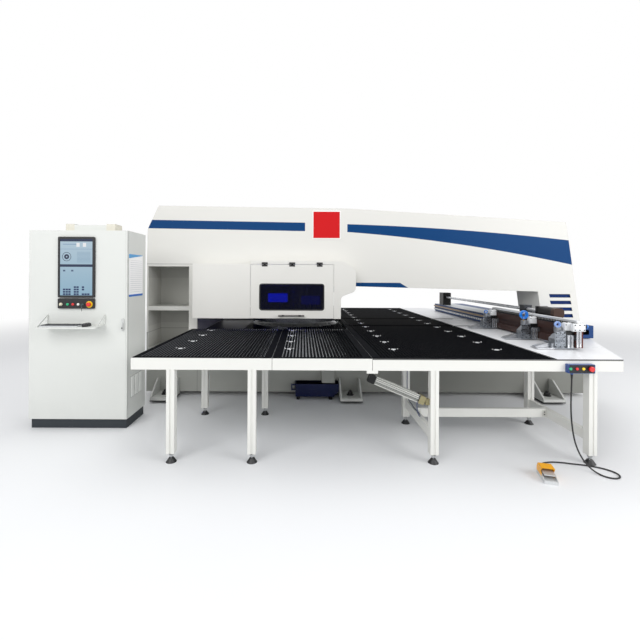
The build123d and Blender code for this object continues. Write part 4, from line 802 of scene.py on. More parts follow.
def pedal_yellow():
    """Foot pedal: yellow hood, faintly clouded, over a cast grey base."""
    finish = Finish("pedal_yellow", 0.35)
    clouds = finish.cloud(0.03, 3)
    cast = finish.mix(finish.cloud(0.008, 3), shade(192, 194, 195), shade(226, 228, 228))
    centre = (1.488, -2.662076)
    heading = (0.26724, 0.96363)
    hood_end = -0.027
    base_top = 0.0262
    along = (finish.x - centre[0]) * heading[0] + (finish.y - centre[1]) * heading[1]
    foot = (finish.z < base_top) | (along < hood_end)
    tone = finish.mix(foot, finish.toned(clouds, paint("pedal"), 0.88, 1.06), cast)
    relief = finish.bump(finish.cloud(0.004, 2), 0.0002, finish.rounded(0.004))
    return finish.done(base_color=tone, roughness=0.3 + clouds * 0.12, metallic=foot * 0.3, normal=relief)


def cylinder_finish():
    """Air cylinder: profiled aluminium barrel with painted shade in its flutes, between a khaki and a
    black end cap, with black rings.
    """
    finish = Finish("cylinder_aluminium", 0.36, 0.8)
    start = Vector((TURRET_X + 0.690, 0, 0.728))
    run = Vector((0.520, 0, -0.216))
    reach = run.length
    run.normalize()
    flute_pitch = 0.008
    along = (finish.x - start.x) * run.x + (finish.z - start.z) * run.z
    low_cap = along > reach - 0.1
    ring = along.near(0.054, 0.004) | along.near(reach - 0.104, 0.004)
    # Painted shade: the barrel's flutes are darkened
    flute = (finish.y % flute_pitch < 0.0022) * along.within(0.05, reach - 0.1)
    tone = finish.over(
        finish.mix(finish.cloud(0.01, 2), shade(166, 168, 164), shade(196, 197, 192)),
        (flute * 0.7, shade(50, 52, 50)),
        (low_cap, shade(142, 134, 100)),
        (ring | (along < 0.05), shade(34, 35, 36)),
    )
    relief = finish.bump(1 - flute, 0.0008, finish.rounded(0.002))
    return finish.done(base_color=tone, metallic=0.75 - ring * 0.75 - low_cap * 0.4, normal=relief)


def bin_blue():
    """Slug bin: dark blue paint, scuffed, on black feet."""
    finish = Finish("bin_blue", 0.4, shine=0.25)
    feet_top = 0.0425
    scuffs = finish.cloud(0.03, 4, (0.3, 1, 2)).rise(0.6, 0.78)
    tone = finish.over(
        finish.toned(finish.cloud(0.3, 3), paint("bin"), 0.85, 1.3),
        (scuffs * 0.4, shade(110, 114, 124)),
        (finish.z < feet_top, shade(18, 18, 20)),
    )
    relief = finish.bump(scuffs, 0.0001, finish.rounded(0.003))
    return finish.done(base_color=tone, roughness=0.34 + scuffs * 0.25, normal=relief)


def key_grey():
    """Keyboard: dark keys on a lighter body."""
    low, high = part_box("keyboard")
    finish = Finish("key_grey", 0.5)
    body_share = 0.62
    keys = finish.z > low.z + (high.z - low.z) * body_share
    tone = finish.mix(keys, shade(196, 198, 200), shade(44, 46, 52))
    relief = finish.bump(finish.cloud(0.002, 1), 0.00005, finish.rounded(0.001))
    return finish.done(base_color=tone, normal=relief)


def key_finish():
    """Key in its switch: bright shank and a black tip that hangs below."""
    low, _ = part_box("key_switch")
    finish = Finish("key_steel", 0.28)
    tip_length = 0.030
    tip = finish.z < low.z + tip_length
    clouds = finish.cloud(0.01, 2)
    tone = finish.over(shade(60, 96, 100), (clouds, shade(150, 170, 172)), (tip, shade(12, 13, 16)))
    return finish.done(base_color=tone, roughness=0.22 + clouds * 0.12, metallic=0.6 - tip * 0.6)


def plaque_red():
    """Bare plaque: red enamel with a white margin."""
    finish = Finish("plaque_red", 0.28, shine=0.15)
    reach = abs(finish.x - PLAQUE_X) | abs(finish.z - PLAQUE_Z)
    margin = reach > measure("plaque_side") / 2 - PLAQUE_MARGIN
    enamel = finish.toned(finish.cloud(0.2, 2), paint("plaque"), 0.94, 1.0)
    return finish.done(base_color=finish.mix(margin, enamel, shade(240, 240, 238)), coat_weight=0.08)


def placard_white():
    """Bare placard on the cabinet's side: white, with a pale blue head, plain bands and a blue foot."""
    finish = Finish("placard_white", 0.4)
    up = (finish.z - PLACARD_LOW[1]) / (PLACARD_HIGH[1] - PLACARD_LOW[1])
    across = (finish.y - PLACARD_LOW[0]) / (PLACARD_HIGH[0] - PLACARD_LOW[0])
    head = finish.mix(finish.cloud(0.1, 2), shade(40, 136, 204), shade(96, 176, 226))
    bands = ((up * 20) % 1.0 < 0.3) * up.within(0.1, 0.86) * across.within(0.08, 0.94)
    tone = finish.over(
        shade(252, 252, 252),
        (bands * 0.3, shade(120, 130, 140)),
        (up > 0.9 + across * 0.09, head),
        (up < 0.05, shade(20, 104, 196)),
    )
    return finish.done(base_color=tone)


def coat(material, *nodes):
    """Gives CAD nodes their finish."""
    for name in nodes:
        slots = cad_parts[name].data.materials
        slots.clear()
        slots.append(material)


# Modelling helpers

UP = Vector((0, 0, 1))
NEAR = Vector((0, -1, 0))
RIGHT = Vector((1, 0, 0))


def clear_selection():
    """Nothing selected, and no piece left in edit mode."""
    if bpy.context.object is not None and bpy.context.object.mode != "OBJECT":
        bpy.ops.object.mode_set(mode="OBJECT")
    bpy.ops.object.select_all(action="DESELECT")


def only(piece):
    """Selects one piece alone."""
    clear_selection()
    piece.select_set(True)
    bpy.context.view_layer.objects.active = piece


def settle(piece, name):
    """Names a piece and moves its place into its mesh."""
    piece.name = name
    only(piece)
    bpy.ops.object.transform_apply(location=True, rotation=True, scale=True)
    return piece


def slab(name, low, high):
    """A block between two corners, as a start for shaping."""
    clear_selection()
    low = Vector(low)
    high = Vector(high)
    bpy.ops.mesh.primitive_cube_add(size=1, location=(low + high) / 2, scale=high - low)
    return settle(bpy.context.object, name)


def rod(name, centre, radius, depth, axis="Z", sides=24):
    """A cylinder along X, Y or Z, as a start for shaping."""
    clear_selection()
    turns = {"X": (0, math.pi / 2, 0), "Y": (math.pi / 2, 0, 0), "Z": (0, 0, 0)}
    bpy.ops.mesh.primitive_cylinder_add(
        vertices=sides, radius=radius, depth=depth, location=centre, rotation=turns[axis]
    )
    return settle(bpy.context.object, name)


def inset(piece, outward, width, rise=0.0, walls=False):
    """Insets the face that points outward and raises it, or draws it out with walls of its own."""
    only(piece)
    bpy.ops.object.mode_set(mode="EDIT")
    bpy.ops.mesh.select_mode(type="FACE")
    bpy.ops.mesh.select_all(action="DESELECT")
    bpy.ops.object.mode_set(mode="OBJECT")
    for face in piece.data.polygons:
        face.select = face.normal.dot(outward) > 0.9
    bpy.ops.object.mode_set(mode="EDIT")
    bpy.ops.mesh.inset(thickness=width)
    if walls:
        bpy.ops.mesh.extrude_region_move(TRANSFORM_OT_translate={"value": tuple(outward * rise)})
    elif rise:
        bpy.ops.transform.translate(value=tuple(outward * rise))
    bpy.ops.object.mode_set(mode="OBJECT")
    return piece


def bevelled(piece, width, segments=2, angle=30):
    """Rounds the edges of a piece and applies it."""
    only(piece)
    modifier = piece.modifiers.new("Bevel", "BEVEL")
    modifier.width = width
    modifier.segments = segments
    modifier.angle_limit = math.radians(angle)
    bpy.ops.object.modifier_apply(modifier=modifier.name)
    bpy.ops.object.shade_smooth_by_angle(angle=math.radians(40))
    return piece


def dress(piece, material, body="machine"):
    """Gives a piece its finish and the body it rides on."""
    piece.data.materials.clear()
    piece.data.materials.append(material)
    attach(piece, body)
    return piece


def copied(piece, move):
    """A copy of a finished piece, with its own mesh, at another place."""
    copy = piece.copy()
    copy.data = piece.data.copy()
    copy.data.transform(move if isinstance(move, Matrix) else Matrix.Translation(move))
    bpy.context.scene.collection.objects.link(copy)
    return copy


def repeated(piece, name, moves):
    """Copies a finished piece to each place and joins the copies to one."""
    copies = [copied(piece, move) for move in moves]
    bpy.data.objects.remove(piece)
    clear_selection()
    for copy in copies:
        copy.select_set(True)
    bpy.context.view_layer.objects.active = copies[0]
    bpy.ops.object.join()
    joined = bpy.context.object
    joined.name = name
    return joined


def screws(name, radius, places, upright=False):
    """Socket-head screws of one size that face the front, or up, joined to one piece."""
    height = radius * 1.1
    socket_depth = height * 0.6
    screw = rod("screw", (0, 0, height / 2), radius, height, "Z", 20)
    inset(screw, UP, radius * 0.42, -socket_depth, walls=True)
    bevelled(screw, radius * 0.12, 2, 50)
    if not upright:
        screw.data.transform(Matrix.Rotation(math.pi / 2, 4, "X"))
    return repeated(screw, name, places)


# Operators, one for each group of pieces


class PRESS_OT_frame(bpy.types.Operator):
    """Covers of the bridge frame, the bare plaque on the beam and the feet"""

    bl_idname = "press.frame"
    bl_label = "Frame"

    def execute(self, context):
        coat(cover_white(), "base_frame", "left_column", "upper_beam")
        coat(louvre_white(), "right_column")
        coat(foot_grey(), "machine_feet")
        self.anchor_nuts()
        half = measure("plaque_side") / 2
        low = (PLAQUE_X - half, FRONT - measure("plaque_thick"), PLAQUE_Z - half)
        plaque = slab("beam_plaque", low, (PLAQUE_X + half, FRONT, PLAQUE_Z + half))
        bevelled(inset(plaque, NEAR, PLAQUE_MARGIN, -0.001), 0.001)
        dress(plaque, plaque_red())
        return {"FINISHED"}

    def anchor_nuts(self):
        """Black hexagon nut and washer round the bolt of each bracket foot."""
        places = [(bolt_x, bolt_y, 0) for bolt_x, bolt_y in foot_bolts()]
        nut = rod("nut", (0, 0, 0.092), 0.034, 0.030, "Z", 6)
        bevelled(inset(nut, UP, 0.005, 0.002), 0.0015)
        washer = bevelled(rod("washer", (0, 0, 0.0735), 0.046, 0.007, "Z", 32), 0.0015)
        for piece, name in ((nut, "anchor_nuts"), (washer, "anchor_washers")):
            black = moulded(f"{name}_black", shade(20, 20, 22), 0.4)
            dress(repeated(piece, name, places), black)


class PRESS_OT_housing(bpy.types.Operator):
    """Housing of the turrets with its door, window seal and handle"""

    bl_idname = "press.housing"
    bl_label = "Turret housing"

    def execute(self, context):
        coat(hood_white(), "turret_hood", "rear_hood", "hood_door")
        coat(tinted_window(), "door_window")
        coat(handle_bar(), "door_handle")
        self.seal()
        self.inner_covers()
        self.hinge_leaves()
        return {"FINISHED"}

    def seal(self):
        """Rubber profile round the window."""
        hinge_depth = 0.018
        skin = DOOR_LOW.y + hinge_depth
        overlap = 0.004
        corner_radius = 0.036
        size = WINDOW_HIGH - WINDOW_LOW
        middle = (WINDOW_LOW + WINDOW_HIGH) / 2
        clear_selection()
        bpy.ops.mesh.primitive_plane_add(
            size=1, location=(middle.x, skin, middle.z), rotation=(math.pi / 2, 0, 0)
        )
        seal = bpy.context.object
        seal.scale = (size.x + overlap, size.z + overlap, 1)
        settle(seal, "window_seal")
        bpy.ops.object.mode_set(mode="EDIT")
        bpy.ops.mesh.select_all(action="SELECT")
        bpy.ops.mesh.bevel(offset=corner_radius, segments=6, affect="VERTICES")
        bpy.ops.mesh.inset(thickness=measure("seal_radius") * 2)
        bpy.ops.mesh.delete(type="FACE")
        bpy.ops.object.mode_set(mode="OBJECT")
        solid = seal.modifiers.new("Solidify", "SOLIDIFY")
        solid.thickness = 0.006
        solid.offset = 0
        bpy.ops.object.modifier_apply(modifier=solid.name)
        bevelled(seal, 0.0025, 3)
        dress(seal, moulded("seal_rubber", shade(16, 16, 18), 0.55), "housing_door")

    def inner_covers(self):
        """Blue covers of the tool changer that show through the window, glowing by emission as painted
        light.
        """
        covers = {
            "changer_cover": ((-0.205, 0.06, 1.315), (0.125, 0.03, 0.055), 13.0),
            "changer_housing": ((0.22, 0.08, 1.285), (0.12, 0.03, 0.055), 1.6),
        }
        for name, (spot, half, strength) in covers.items():
            place = Vector((TURRET_X, DOOR_HIGH.y, 0)) + Vector(spot)
            cover = slab(name, place - Vector(half), place + Vector(half))
            bevelled(inset(cover, NEAR, 0.012, 0.01, walls=True), 0.006, 3)
            dress(cover, cover_glow_blue(f"{name}_blue", strength))

    def hinge_leaves(self):
        """Black leaves above and below each hinge, with two screws in each."""
        black = moulded("hinge_black", shade(14, 14, 16), 0.4)
        skin = HOOD_LOW.y + 0.018
        thickness = 0.003
        half_width = 0.036
        screw_reach = 0.022
        hinge_xs = [TURRET_X + across for across in (-0.369, -0.018, 0.332)]
        door_top = DOOR_HIGH.z - 0.018
        levels = {
            "machine": (door_top + 0.018, door_top + 0.028),
            "housing_door": (door_top - 0.026, door_top - 0.005),
        }
        for body, (low, high) in levels.items():
            leaf = slab("leaf", (-half_width, skin - thickness, low), (half_width, skin, high))
            bevelled(leaf, 0.001)
            leaves = repeated(leaf, f"hinge_leaves_{body}", [(hinge_x, 0, 0) for hinge_x in hinge_xs])
            dress(leaves, black, body)
            places = [
                (hinge_x + side * screw_reach, skin - thickness, (low + high) / 2)
                for hinge_x in hinge_xs
                for side in (-1, 1)
            ]
            dark = steel(f"hinge_screw_dark_{body}", shade(58, 59, 62), 0.3)
            dress(screws(f"hinge_screws_{body}", 0.0045, places), dark, body)


class PRESS_OT_turrets(bpy.types.Operator):
    """Turrets, punches, ram and its cylinder"""

    bl_idname = "press.turrets"
    bl_label = "Turrets"

    def execute(self, context):
        coat(turret_steel(), "upper_turret", "lower_turret")
        coat(steel("tool_steel", shade(150, 150, 152), 0.28, (1, 1, 8)), "punch_tools")
        coat(steel("ram_chrome", shade(214, 216, 220), 0.14, (1, 1, 6)), "ram")
        coat(moulded("ram_blue", shade(36, 70, 116), 0.35, 0.2), "ram_cylinder")
        return {"FINISHED"}


class PRESS_OT_tables(bpy.types.Operator):
    """Table frames, brush beds, ball transfers, plate, rails and levelling feet"""

    bl_idname = "press.tables"
    bl_label = "Tables"

    def execute(self, context):
        coat(beam_white(), "left_table_frame", "middle_table_frame", "right_table_frame")
        coat(levelling_foot(), "table_feet")
        coat(bristle_black(), "left_brush_table", "middle_brush_table", "right_brush_table")
        coat(ground_plate(), "steel_plate")
        coat(steel("ball_chrome", shade(240, 242, 245), 0.12, metal=0.7), "ball_transfers")
        coat(steel("rail_steel", shade(160, 162, 166), 0.3, (12, 1, 1)), "guide_rails")
        self.ball_flanges()
        self.brace_corners()
        self.foot_nuts()
        return {"FINISHED"}

    def tops(self, node, depth, spacing):
        """Middles of the highest points of each loose body of a node, nearer than spacing apart."""
        points = [vertex.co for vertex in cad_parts[node].data.vertices]
        top = max(point.z for point in points)
        groups = []
        for point in points:
            if point.z > top - depth:
                for group in groups:
                    if (group[0] - point).length < spacing:
                        group.append(point.copy())
                        break
                else:
                    groups.append([point.copy()])
        return groups

    def foot_nuts(self):
        """Bright hexagon nut and washer on each levelling foot, under the leg."""
        groups = self.tops("table_feet", 0.0005, 0.05)
        centres = [sum(group, Vector()) / len(group) for group in groups]
        nut = bevelled(rod("nut", (0, 0, 0.052), 0.016, 0.014, "Z", 6), 0.0012)
        washer = bevelled(rod("washer", (0, 0, 0.062), 0.021, 0.006, "Z", 24), 0.001)
        for piece, name in ((nut, "foot_nuts"), (washer, "foot_washers")):
            joined = repeated(piece, name, [(centre.x, centre.y, 0) for centre in centres])
            dress(joined, steel(f"{name}_zinc", shade(190, 192, 194), 0.28))

    def ball_flanges(self):
        """Bright cup round each ball with a screw at both ends."""
        groups = self.tops("ball_transfers", 0.0002, 0.1)
        places = [Vector((group[0].x, group[0].y, BED_HIGH.z)) for group in groups]
        flange = rod("flange", (0, 0, 0.0004), 0.0235, 0.0028, "Z", 24)
        bevelled(inset(flange, UP, 0.003, 0.0008), 0.0005, 1)
        zinc = steel("cup_zinc", shade(238, 240, 243), 0.24, metal=0.55)
        dress(repeated(flange, "ball_cups", places), zinc)
        screw_reach = 0.04
        ends = [place + Vector((side * screw_reach, 0, 0.001)) for place in places for side in (-1, 1)]
        heads = screws("ball_screws", measure("screw_radius"), ends, upright=True)
        bright = steel("flange_screw_zinc", shade(242, 243, 245), 0.2, metal=0.5)
        dress(heads, bright)

    def brace_corners(self):
        """Angle plates with two bolts where the braces meet the legs and each other."""
        brace_low = 0.190
        brace_high = 0.275
        margin = 0.008
        width = 0.045
        thickness = 0.003
        brace_thick = 0.04
        cross_reach = 2.020
        brace_ys = (MIDDLE_Y - cross_reach, MIDDLE_Y + cross_reach - brace_thick)
        plate_xs = (TURRET_X + 1.265, TURRET_X + 2.525)
        spots = [(plate_x, brace_y, 0) for plate_x in plate_xs for brace_y in brace_ys]
        plate = slab("plate", (0, -thickness, brace_low + margin), (width, 0, brace_high - margin))
        plates = repeated(bevelled(plate, 0.001, 1), "corner_plates", spots)
        dress(plates, moulded("corner_white", shade(206, 206, 200), 0.4))
        places = [
            (plate_x + width / 2, brace_y - thickness, brace_low + height)
            for plate_x, brace_y, _ in spots
            for height in (0.03, 0.055)
        ]
        bolts = screws("corner_bolts", measure("bolt_radius") * 0.5, places)
        dress(bolts, moulded("bolt_black", shade(28, 28, 30), 0.4))


class PRESS_OT_gantry(bpy.types.Operator):
    """Gantry beam, screw drive, carriage bar and sheet clamps"""

    bl_idname = "press.gantry"
    bl_label = "Gantry"

    def execute(self, context):
        coat(gantry_blue(), "gantry_beam")
        coat(motor_black(), "screw_motor")
        coat(steel("screw_chrome", shade(214, 216, 220), 0.24, (1, 14, 1), 0.55, 0.1), "carriage_screw")
        coat(bar_brown(), "carriage_bar")
        jaw = steel("jaw_steel", shade(176, 178, 182), 0.3, (6, 1, 1))
        for number in CLAMPS:
            coat(clamp_finish(number), f"clamp_body_{number}")
            coat(jaw, f"clamp_jaw_{number}")
        self.clamp_plates()
        self.clamp_heads()
        self.clamp_hoses()
        self.bar_end()
        return {"FINISHED"}

    def on_clamps(self, piece, material, slot):
        """One copy of a finished piece, modelled on the first clamp, for each clamp."""
        first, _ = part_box("clamp_body_1")
        for number in CLAMPS:
            low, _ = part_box(f"clamp_body_{number}")
            copy = copied(piece, (0, low.y - first.y, 0))
            copy.name = f"{piece.name}_{number}"
            dress(copy, material, f"clamp_{number}")
        bpy.data.objects.remove(piece)

    def milled_ribs(self, name, half_width, depth, low, high, pocket, places):
        """Upright ribs with a milled pocket in each face."""
        rib = slab("rib", (-half_width, -depth, low), (half_width, 0, high))
        bevelled(inset(rib, NEAR, 0.004, -pocket, walls=True), 0.001)
        return repeated(rib, name, places)

    def clamp_plates(self):
        """Pierced galvanised plate with screws and two milled ribs on each clamp's near side."""
        low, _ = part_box("clamp_body_1")
        plate = slab("clamp_plate", (low.x + 0.162, low.y - 0.003, 0.918), (low.x + 0.270, low.y, 1.072))
        bevelled(inset(plate, NEAR, 0.004, 0.0008), 0.0008, 1)
        self.on_clamps(plate, spangled_zinc(), "clamp_zinc")
        places = [
            (low.x + across, low.y - 0.0038, up)
            for across in (0.172, 0.216, 0.260)
            for up in (0.928, 1.062)
        ]
        dark = steel("clamp_screw_black", shade(60, 62, 66), 0.3)
        self.on_clamps(screws("clamp_screws", 0.0055, places), dark, "foot_black")
        places = [(low.x + across, low.y, 0) for across in (0.296, 0.330)]
        ribs = self.milled_ribs("clamp_ribs", 0.011, 0.008, 0.918, 1.036, 0.003, places)
        self.on_clamps(ribs, steel("rib_steel", shade(196, 198, 202), 0.22, (8, 1, 1)), "clamp_zinc")

    def clamp_heads(self):
        """White valve housing on each clamp, with a raised lid and four dark screws."""
        low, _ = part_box("clamp_body_1")
        left = low.x + 0.268
        right = low.x + 0.345
        near = low.y + 0.008
        head = slab("valve_housing", (left, near, 1.042), (right, near + 0.052, 1.150))
        bevelled(inset(head, UP, 0.006, 0.008, walls=True), 0.003, 3)
        self.on_clamps(head, moulded("valve_white", shade(222, 224, 226), 0.3, 0.2), "white_cap")
        places = [(x, near, z) for x in (left + 0.01, right - 0.01) for z in (1.055, 1.138)]
        dark = steel("valve_screw_dark", shade(48, 50, 54), 0.3)
        self.on_clamps(screws("valve_screws", 0.0045, places), dark, "foot_black")

    def clamp_hoses(self):
        """Coiled air hoses on fittings over the clamps' cans."""
        hose_radius = 0.0045
        hose_pitch = 0.0095
        stagger = 0.002
        stem_low = 1.108
        stem_height = 0.012
        coils = {
            1: ((0.026, 0.017), shade(140, 170, 226), 0.0),
            2: ((0.044, 0.034, 0.024), shade(12, 128, 226), 0.02),
            3: ((0.018,), shade(12, 128, 226), 0.0),
        }
        for number, (radii, tint, lift) in coils.items():
            radius = radii[0]
            body = f"clamp_{number}"
            low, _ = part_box(f"clamp_body_{number}")
            centre = Vector((low.x + 0.215, low.y + 0.035, stem_low + 0.004 + radius + lift))
            clear_selection()
            bpy.ops.mesh.primitive_torus_add(
                major_segments=36,
                minor_segments=10,
                major_radius=radius,
                minor_radius=hose_radius,
                location=(0, 0, 0),
                rotation=(math.pi / 2, 0, 0),
            )
            turn = settle(bpy.context.object, "turn")
            bpy.ops.object.shade_smooth()
            turns = []
            for level, inner in enumerate(radii):
                scale = Matrix.Diagonal((inner / radius, 1, inner / radius, 1))
                for side in (-1, 0, 1):
                    shift = Vector((side * stagger, side * hose_pitch + level * stagger, 0))
                    turns.append(Matrix.Translation(centre + shift) @ scale)
            coil = repeated(turn, f"hose_coil_{number}", turns)
            dress(coil, moulded(f"coil_blue_{number}", tint, 0.2, 0.4), body)
            height = stem_height + lift
            middle = (centre.x, centre.y + 0.004, stem_low + height / 2)
            stem = bevelled(rod(f"coil_stem_{number}", middle, 0.008, height, "Z", 16), 0.0015)
            dress(stem, steel(f"stem_brass_{number}", shade(196, 176, 120), 0.25), body)

    def bar_end(self):
        """White valve block, silver ribs and a black connector with a blue ring on the bar's near end."""
        near = BAR_LOW.y - 0.001
        left = BAR_LOW.x
        block = slab("end_block", (left - 0.050, near - 0.034, 1.082), (left + 0.068, near, 1.156))
        bevelled(inset(block, NEAR, 0.008, 0.005, walls=True), 0.002)
        dress(block, moulded("end_white", shade(226, 228, 229), 0.3, 0.2), "carriage")
        places = [
            (left + across, near - 0.039, up) for across in (-0.035, 0.008, 0.052) for up in (1.096, 1.143)
        ]
        dark = steel("end_screw_dark", shade(44, 46, 50), 0.3)
        dress(screws("end_screws", 0.005, places), dark, "carriage")
        plug_y = near - 0.017
        plug_z = 1.128
        plug = rod("end_plug", (left + 0.084, plug_y, plug_z), 0.016, 0.030, "X")
        bevelled(inset(plug, RIGHT, 0.004, -0.006), 0.0012)
        dress(plug, moulded("plug_black", shade(14, 14, 16), 0.35), "carriage")
        ring = bevelled(rod("end_plug_ring", (left + 0.090, plug_y, plug_z), 0.0185, 0.010, "X"), 0.0015)
        dress(ring, moulded("ring_blue", shade(24, 120, 214), 0.3, 0.3), "carriage")
        places = [(left + across, near, 0) for across in (0.011, 0.037)]
        ribs = self.milled_ribs("end_ribs", 0.010, 0.012, 0.926, 1.078, 0.004, places)
        dress(ribs, steel("end_rib_steel", shade(200, 202, 206), 0.24, (8, 1, 1)), "carriage")


class PRESS_OT_cabinet(bpy.types.Operator):
    """Control cabinet with its operator panel, tray, placard and buttons"""

    bl_idname = "press.cabinet"
    bl_label = "Cabinet"

    def execute(self, context):
        coat(cabinet_grey(), "cabinet_body", "cabinet_door", "side_cooler", "keyboard_tray")
        coat(panel_black(), "operator_panel")
        coat(key_grey(), "keyboard")
        coat(moulded("mouse_black", shade(30, 30, 34), 0.35), "mouse")
        coat(moulded("latch_grey", shade(198, 200, 198), 0.4), "door_latch")
        coat(key_finish(), "key_switch")
        coat(moulded("knob_cream", shade(226, 220, 196), 0.3, 0.3), "mode_knob")
        caps = {
            "green": (shade(10, 168, 110), "green_button", "box_green"),
            "red": (shade(214, 26, 26), "red_button", "box_red", "panel_stop", "box_stop"),
            "white": (shade(228, 228, 222), "white_button"),
            "yellow": (shade(240, 200, 20), "box_yellow"),
        }
        for name, (tone, *buttons) in caps.items():
            coat(moulded(f"cap_{name}", tone, 0.25, 0.5), *buttons)
        side = CABINET_HIGH.x
        thickness = 0.002
        placard = slab("side_placard", (side, *PLACARD_LOW), (side + thickness, *PLACARD_HIGH))
        bevelled(inset(placard, RIGHT, 0.006), 0.0008, 1)
        dress(placard, placard_white())
        self.keyhole()
        return {"FINISHED"}

    def keyhole(self):
        """Dark lock barrel in the latch."""
        low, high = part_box("door_latch")
        centre = ((low.x + high.x) / 2, low.y - 0.0005, low.z + 0.032)
        barrel = rod("latch_lock", centre, 0.007, 0.004, "Y", 20)
        bevelled(inset(barrel, NEAR, 0.002, -0.001), 0.0005, 1)
        dress(barrel, steel("lock_dark", shade(52, 54, 58), 0.3), "latch")


class PRESS_OT_controls(bpy.types.Operator):
    """Control box on the front beam, foot pedal, air cylinder and slug bin"""

    bl_idname = "press.controls"
    bl_label = "Controls and small items"

    def execute(self, context):
        coat(moulded("box_blue", shade(32, 66, 128), 0.35, 0.2), "control_box")
        coat(pedal_yellow(), "foot_pedal")
        coat(steel("treadle_cast", shade(206, 208, 209), 0.4, (1, 1, 1), 0.5), "treadle")
        coat(cylinder_finish(), "air_cylinder")
        coat(bin_blue(), "slug_bin")
        margin = 0.007
        low = (BOX_LOW.x + margin, BOX_LOW.y - 0.0015, 0.7935)
        face = slab("box_face", low, (BOX_HIGH.x - margin, BOX_LOW.y, 0.8605))
        bevelled(face, 0.0006, 1)
        dress(face, moulded("face_black", shade(14, 15, 22), 0.4))
        self.bin_grip()
        return {"FINISHED"}

    def bin_grip(self):
        """Bar that joins the two prongs of the slug bin's grip."""
        low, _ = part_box("slug_bin")
        middle = (low.x + 0.006, low.y + 0.048, 0.1515)
        grip = bevelled(rod("bin_grip", middle, 0.0085, 0.086, "Z", 20), 0.002)
        dress(grip, moulded("grip_blue", shade(14, 26, 70), 0.35))


class PRESS_OT_cords(bpy.types.Operator):
    """Cable of the foot pedal and hose of the air cylinder"""

    bl_idname = "press.cords"
    bl_label = "Cords"

    def execute(self, context):
        cable = [
            (1.818, -2.468076, 0.776), (1.818, -2.468076, 0.700), (1.811, -2.471076, 0.590),
            (1.807, -2.475076, 0.470), (1.813, -2.480076, 0.350), (1.827, -2.487076, 0.235),
            (1.851, -2.499076, 0.145), (1.882, -2.519076, 0.075), (1.914, -2.551076, 0.028),
            (1.939, -2.595076, 0.009), (1.967, -2.650076, 0.007), (2.027, -2.675076, 0.007),
            (2.089, -2.645076, 0.007), (2.105, -2.585076, 0.007), (2.067, -2.527076, 0.007),
            (2.002, -2.483076, 0.007), (1.927, -2.455076, 0.007), (1.845, -2.437076, 0.007),
            (1.768, -2.413076, 0.007), (1.677, -2.405076, 0.007), (1.599, -2.427076, 0.007),
            (1.549, -2.471076, 0.009), (1.52835, -2.516566, 0.013), (1.51633, -2.559936, 0.013),
        ]
        hose = [
            (0.567737, -2.367076, 0.540770), (0.567737, -2.322076, 0.540770), (0.575, -2.277076, 0.503),
            (0.582, -2.241076, 0.430), (0.599, -2.206076, 0.355), (0.629, -2.162076, 0.300),
            (0.663, -2.087076, 0.2795), (0.676, -1.987076, 0.2795), (0.668, -1.877076, 0.2795),
            (0.676, -1.767076, 0.2795), (0.670, -1.672076, 0.2855), (0.673, -1.617076, 0.340),
            (0.670, -1.601076, 0.440), (0.674, -1.597076, 0.560), (0.671, -1.599076, 0.680),
            (0.671, -1.599076, 0.795),
        ]
        rubber = moulded("cable_rubber", shade(24, 24, 26), 0.5)
        tube = moulded("hose_blue", shade(12, 44, 96), 0.25, 0.2)
        self.cord("pedal_cord", cable, 0.012, 1.800, "pedal_cable", rubber, "cable_black")
        self.cord("air_line", hose, 0.008, 1.370, "air_hose", tube, "hose_blue")
        self.relief("box_relief", cable[0], cable[1], rubber)
        self.relief("pedal_relief", cable[-1], cable[-2], rubber)
        return {"FINISHED"}

    def relief(self, name, start, toward, material):
        """Tapered strain relief on a cable where it leaves its gland."""
        span = 0.036
        mouth_radius = 0.0095
        tip_radius = 0.0066
        run = (Vector(toward) - Vector(start)).normalized()
        clear_selection()
        bpy.ops.mesh.primitive_cone_add(
            vertices=24, radius1=mouth_radius, radius2=tip_radius, depth=span, location=(0, 0, span / 2)
        )
        sleeve = settle(bpy.context.object, name)
        bpy.ops.object.mode_set(mode="EDIT")
        bpy.ops.mesh.select_all(action="SELECT")
        for level in (0.008, 0.014, 0.020, 0.026):
            bpy.ops.mesh.bisect(plane_co=(0, 0, level), plane_no=(0, 0, 1))
            bpy.ops.mesh.select_all(action="SELECT")
        bpy.ops.object.mode_set(mode="OBJECT")
        bevelled(sleeve, 0.0008, 1)
        turn = run.to_track_quat("Z", "Y").to_matrix().to_4x4()
        sleeve.data.transform(Matrix.Translation(start) @ turn)
        dress(sleeve, material)

    def cord(self, name, route, diameter, real_length, node, material, slot):
        """A smooth tube whose control points are the route's corners."""
        clear_selection()
        bpy.ops.curve.primitive_nurbs_path_add(location=(0, 0, 0))
        cord = bpy.context.object
        cord.name = name
        cord.data.splines.clear()
        spline = cord.data.splines.new("NURBS")
        spline.points.add(len(route) - 1)
        for point, place in zip(spline.points, route):
            point.co = (*place, 1)
        spline.order_u = 3
        spline.use_endpoint_u = True
        spline.resolution_u = 12
        cord.data.dimensions = "3D"
        cord.data.bevel_depth = diameter / 2
        cord.data.bevel_resolution = 4
        cord.data.use_fill_caps = True
        cord.data.materials.append(material)
        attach(cord, "machine")
        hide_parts(node)


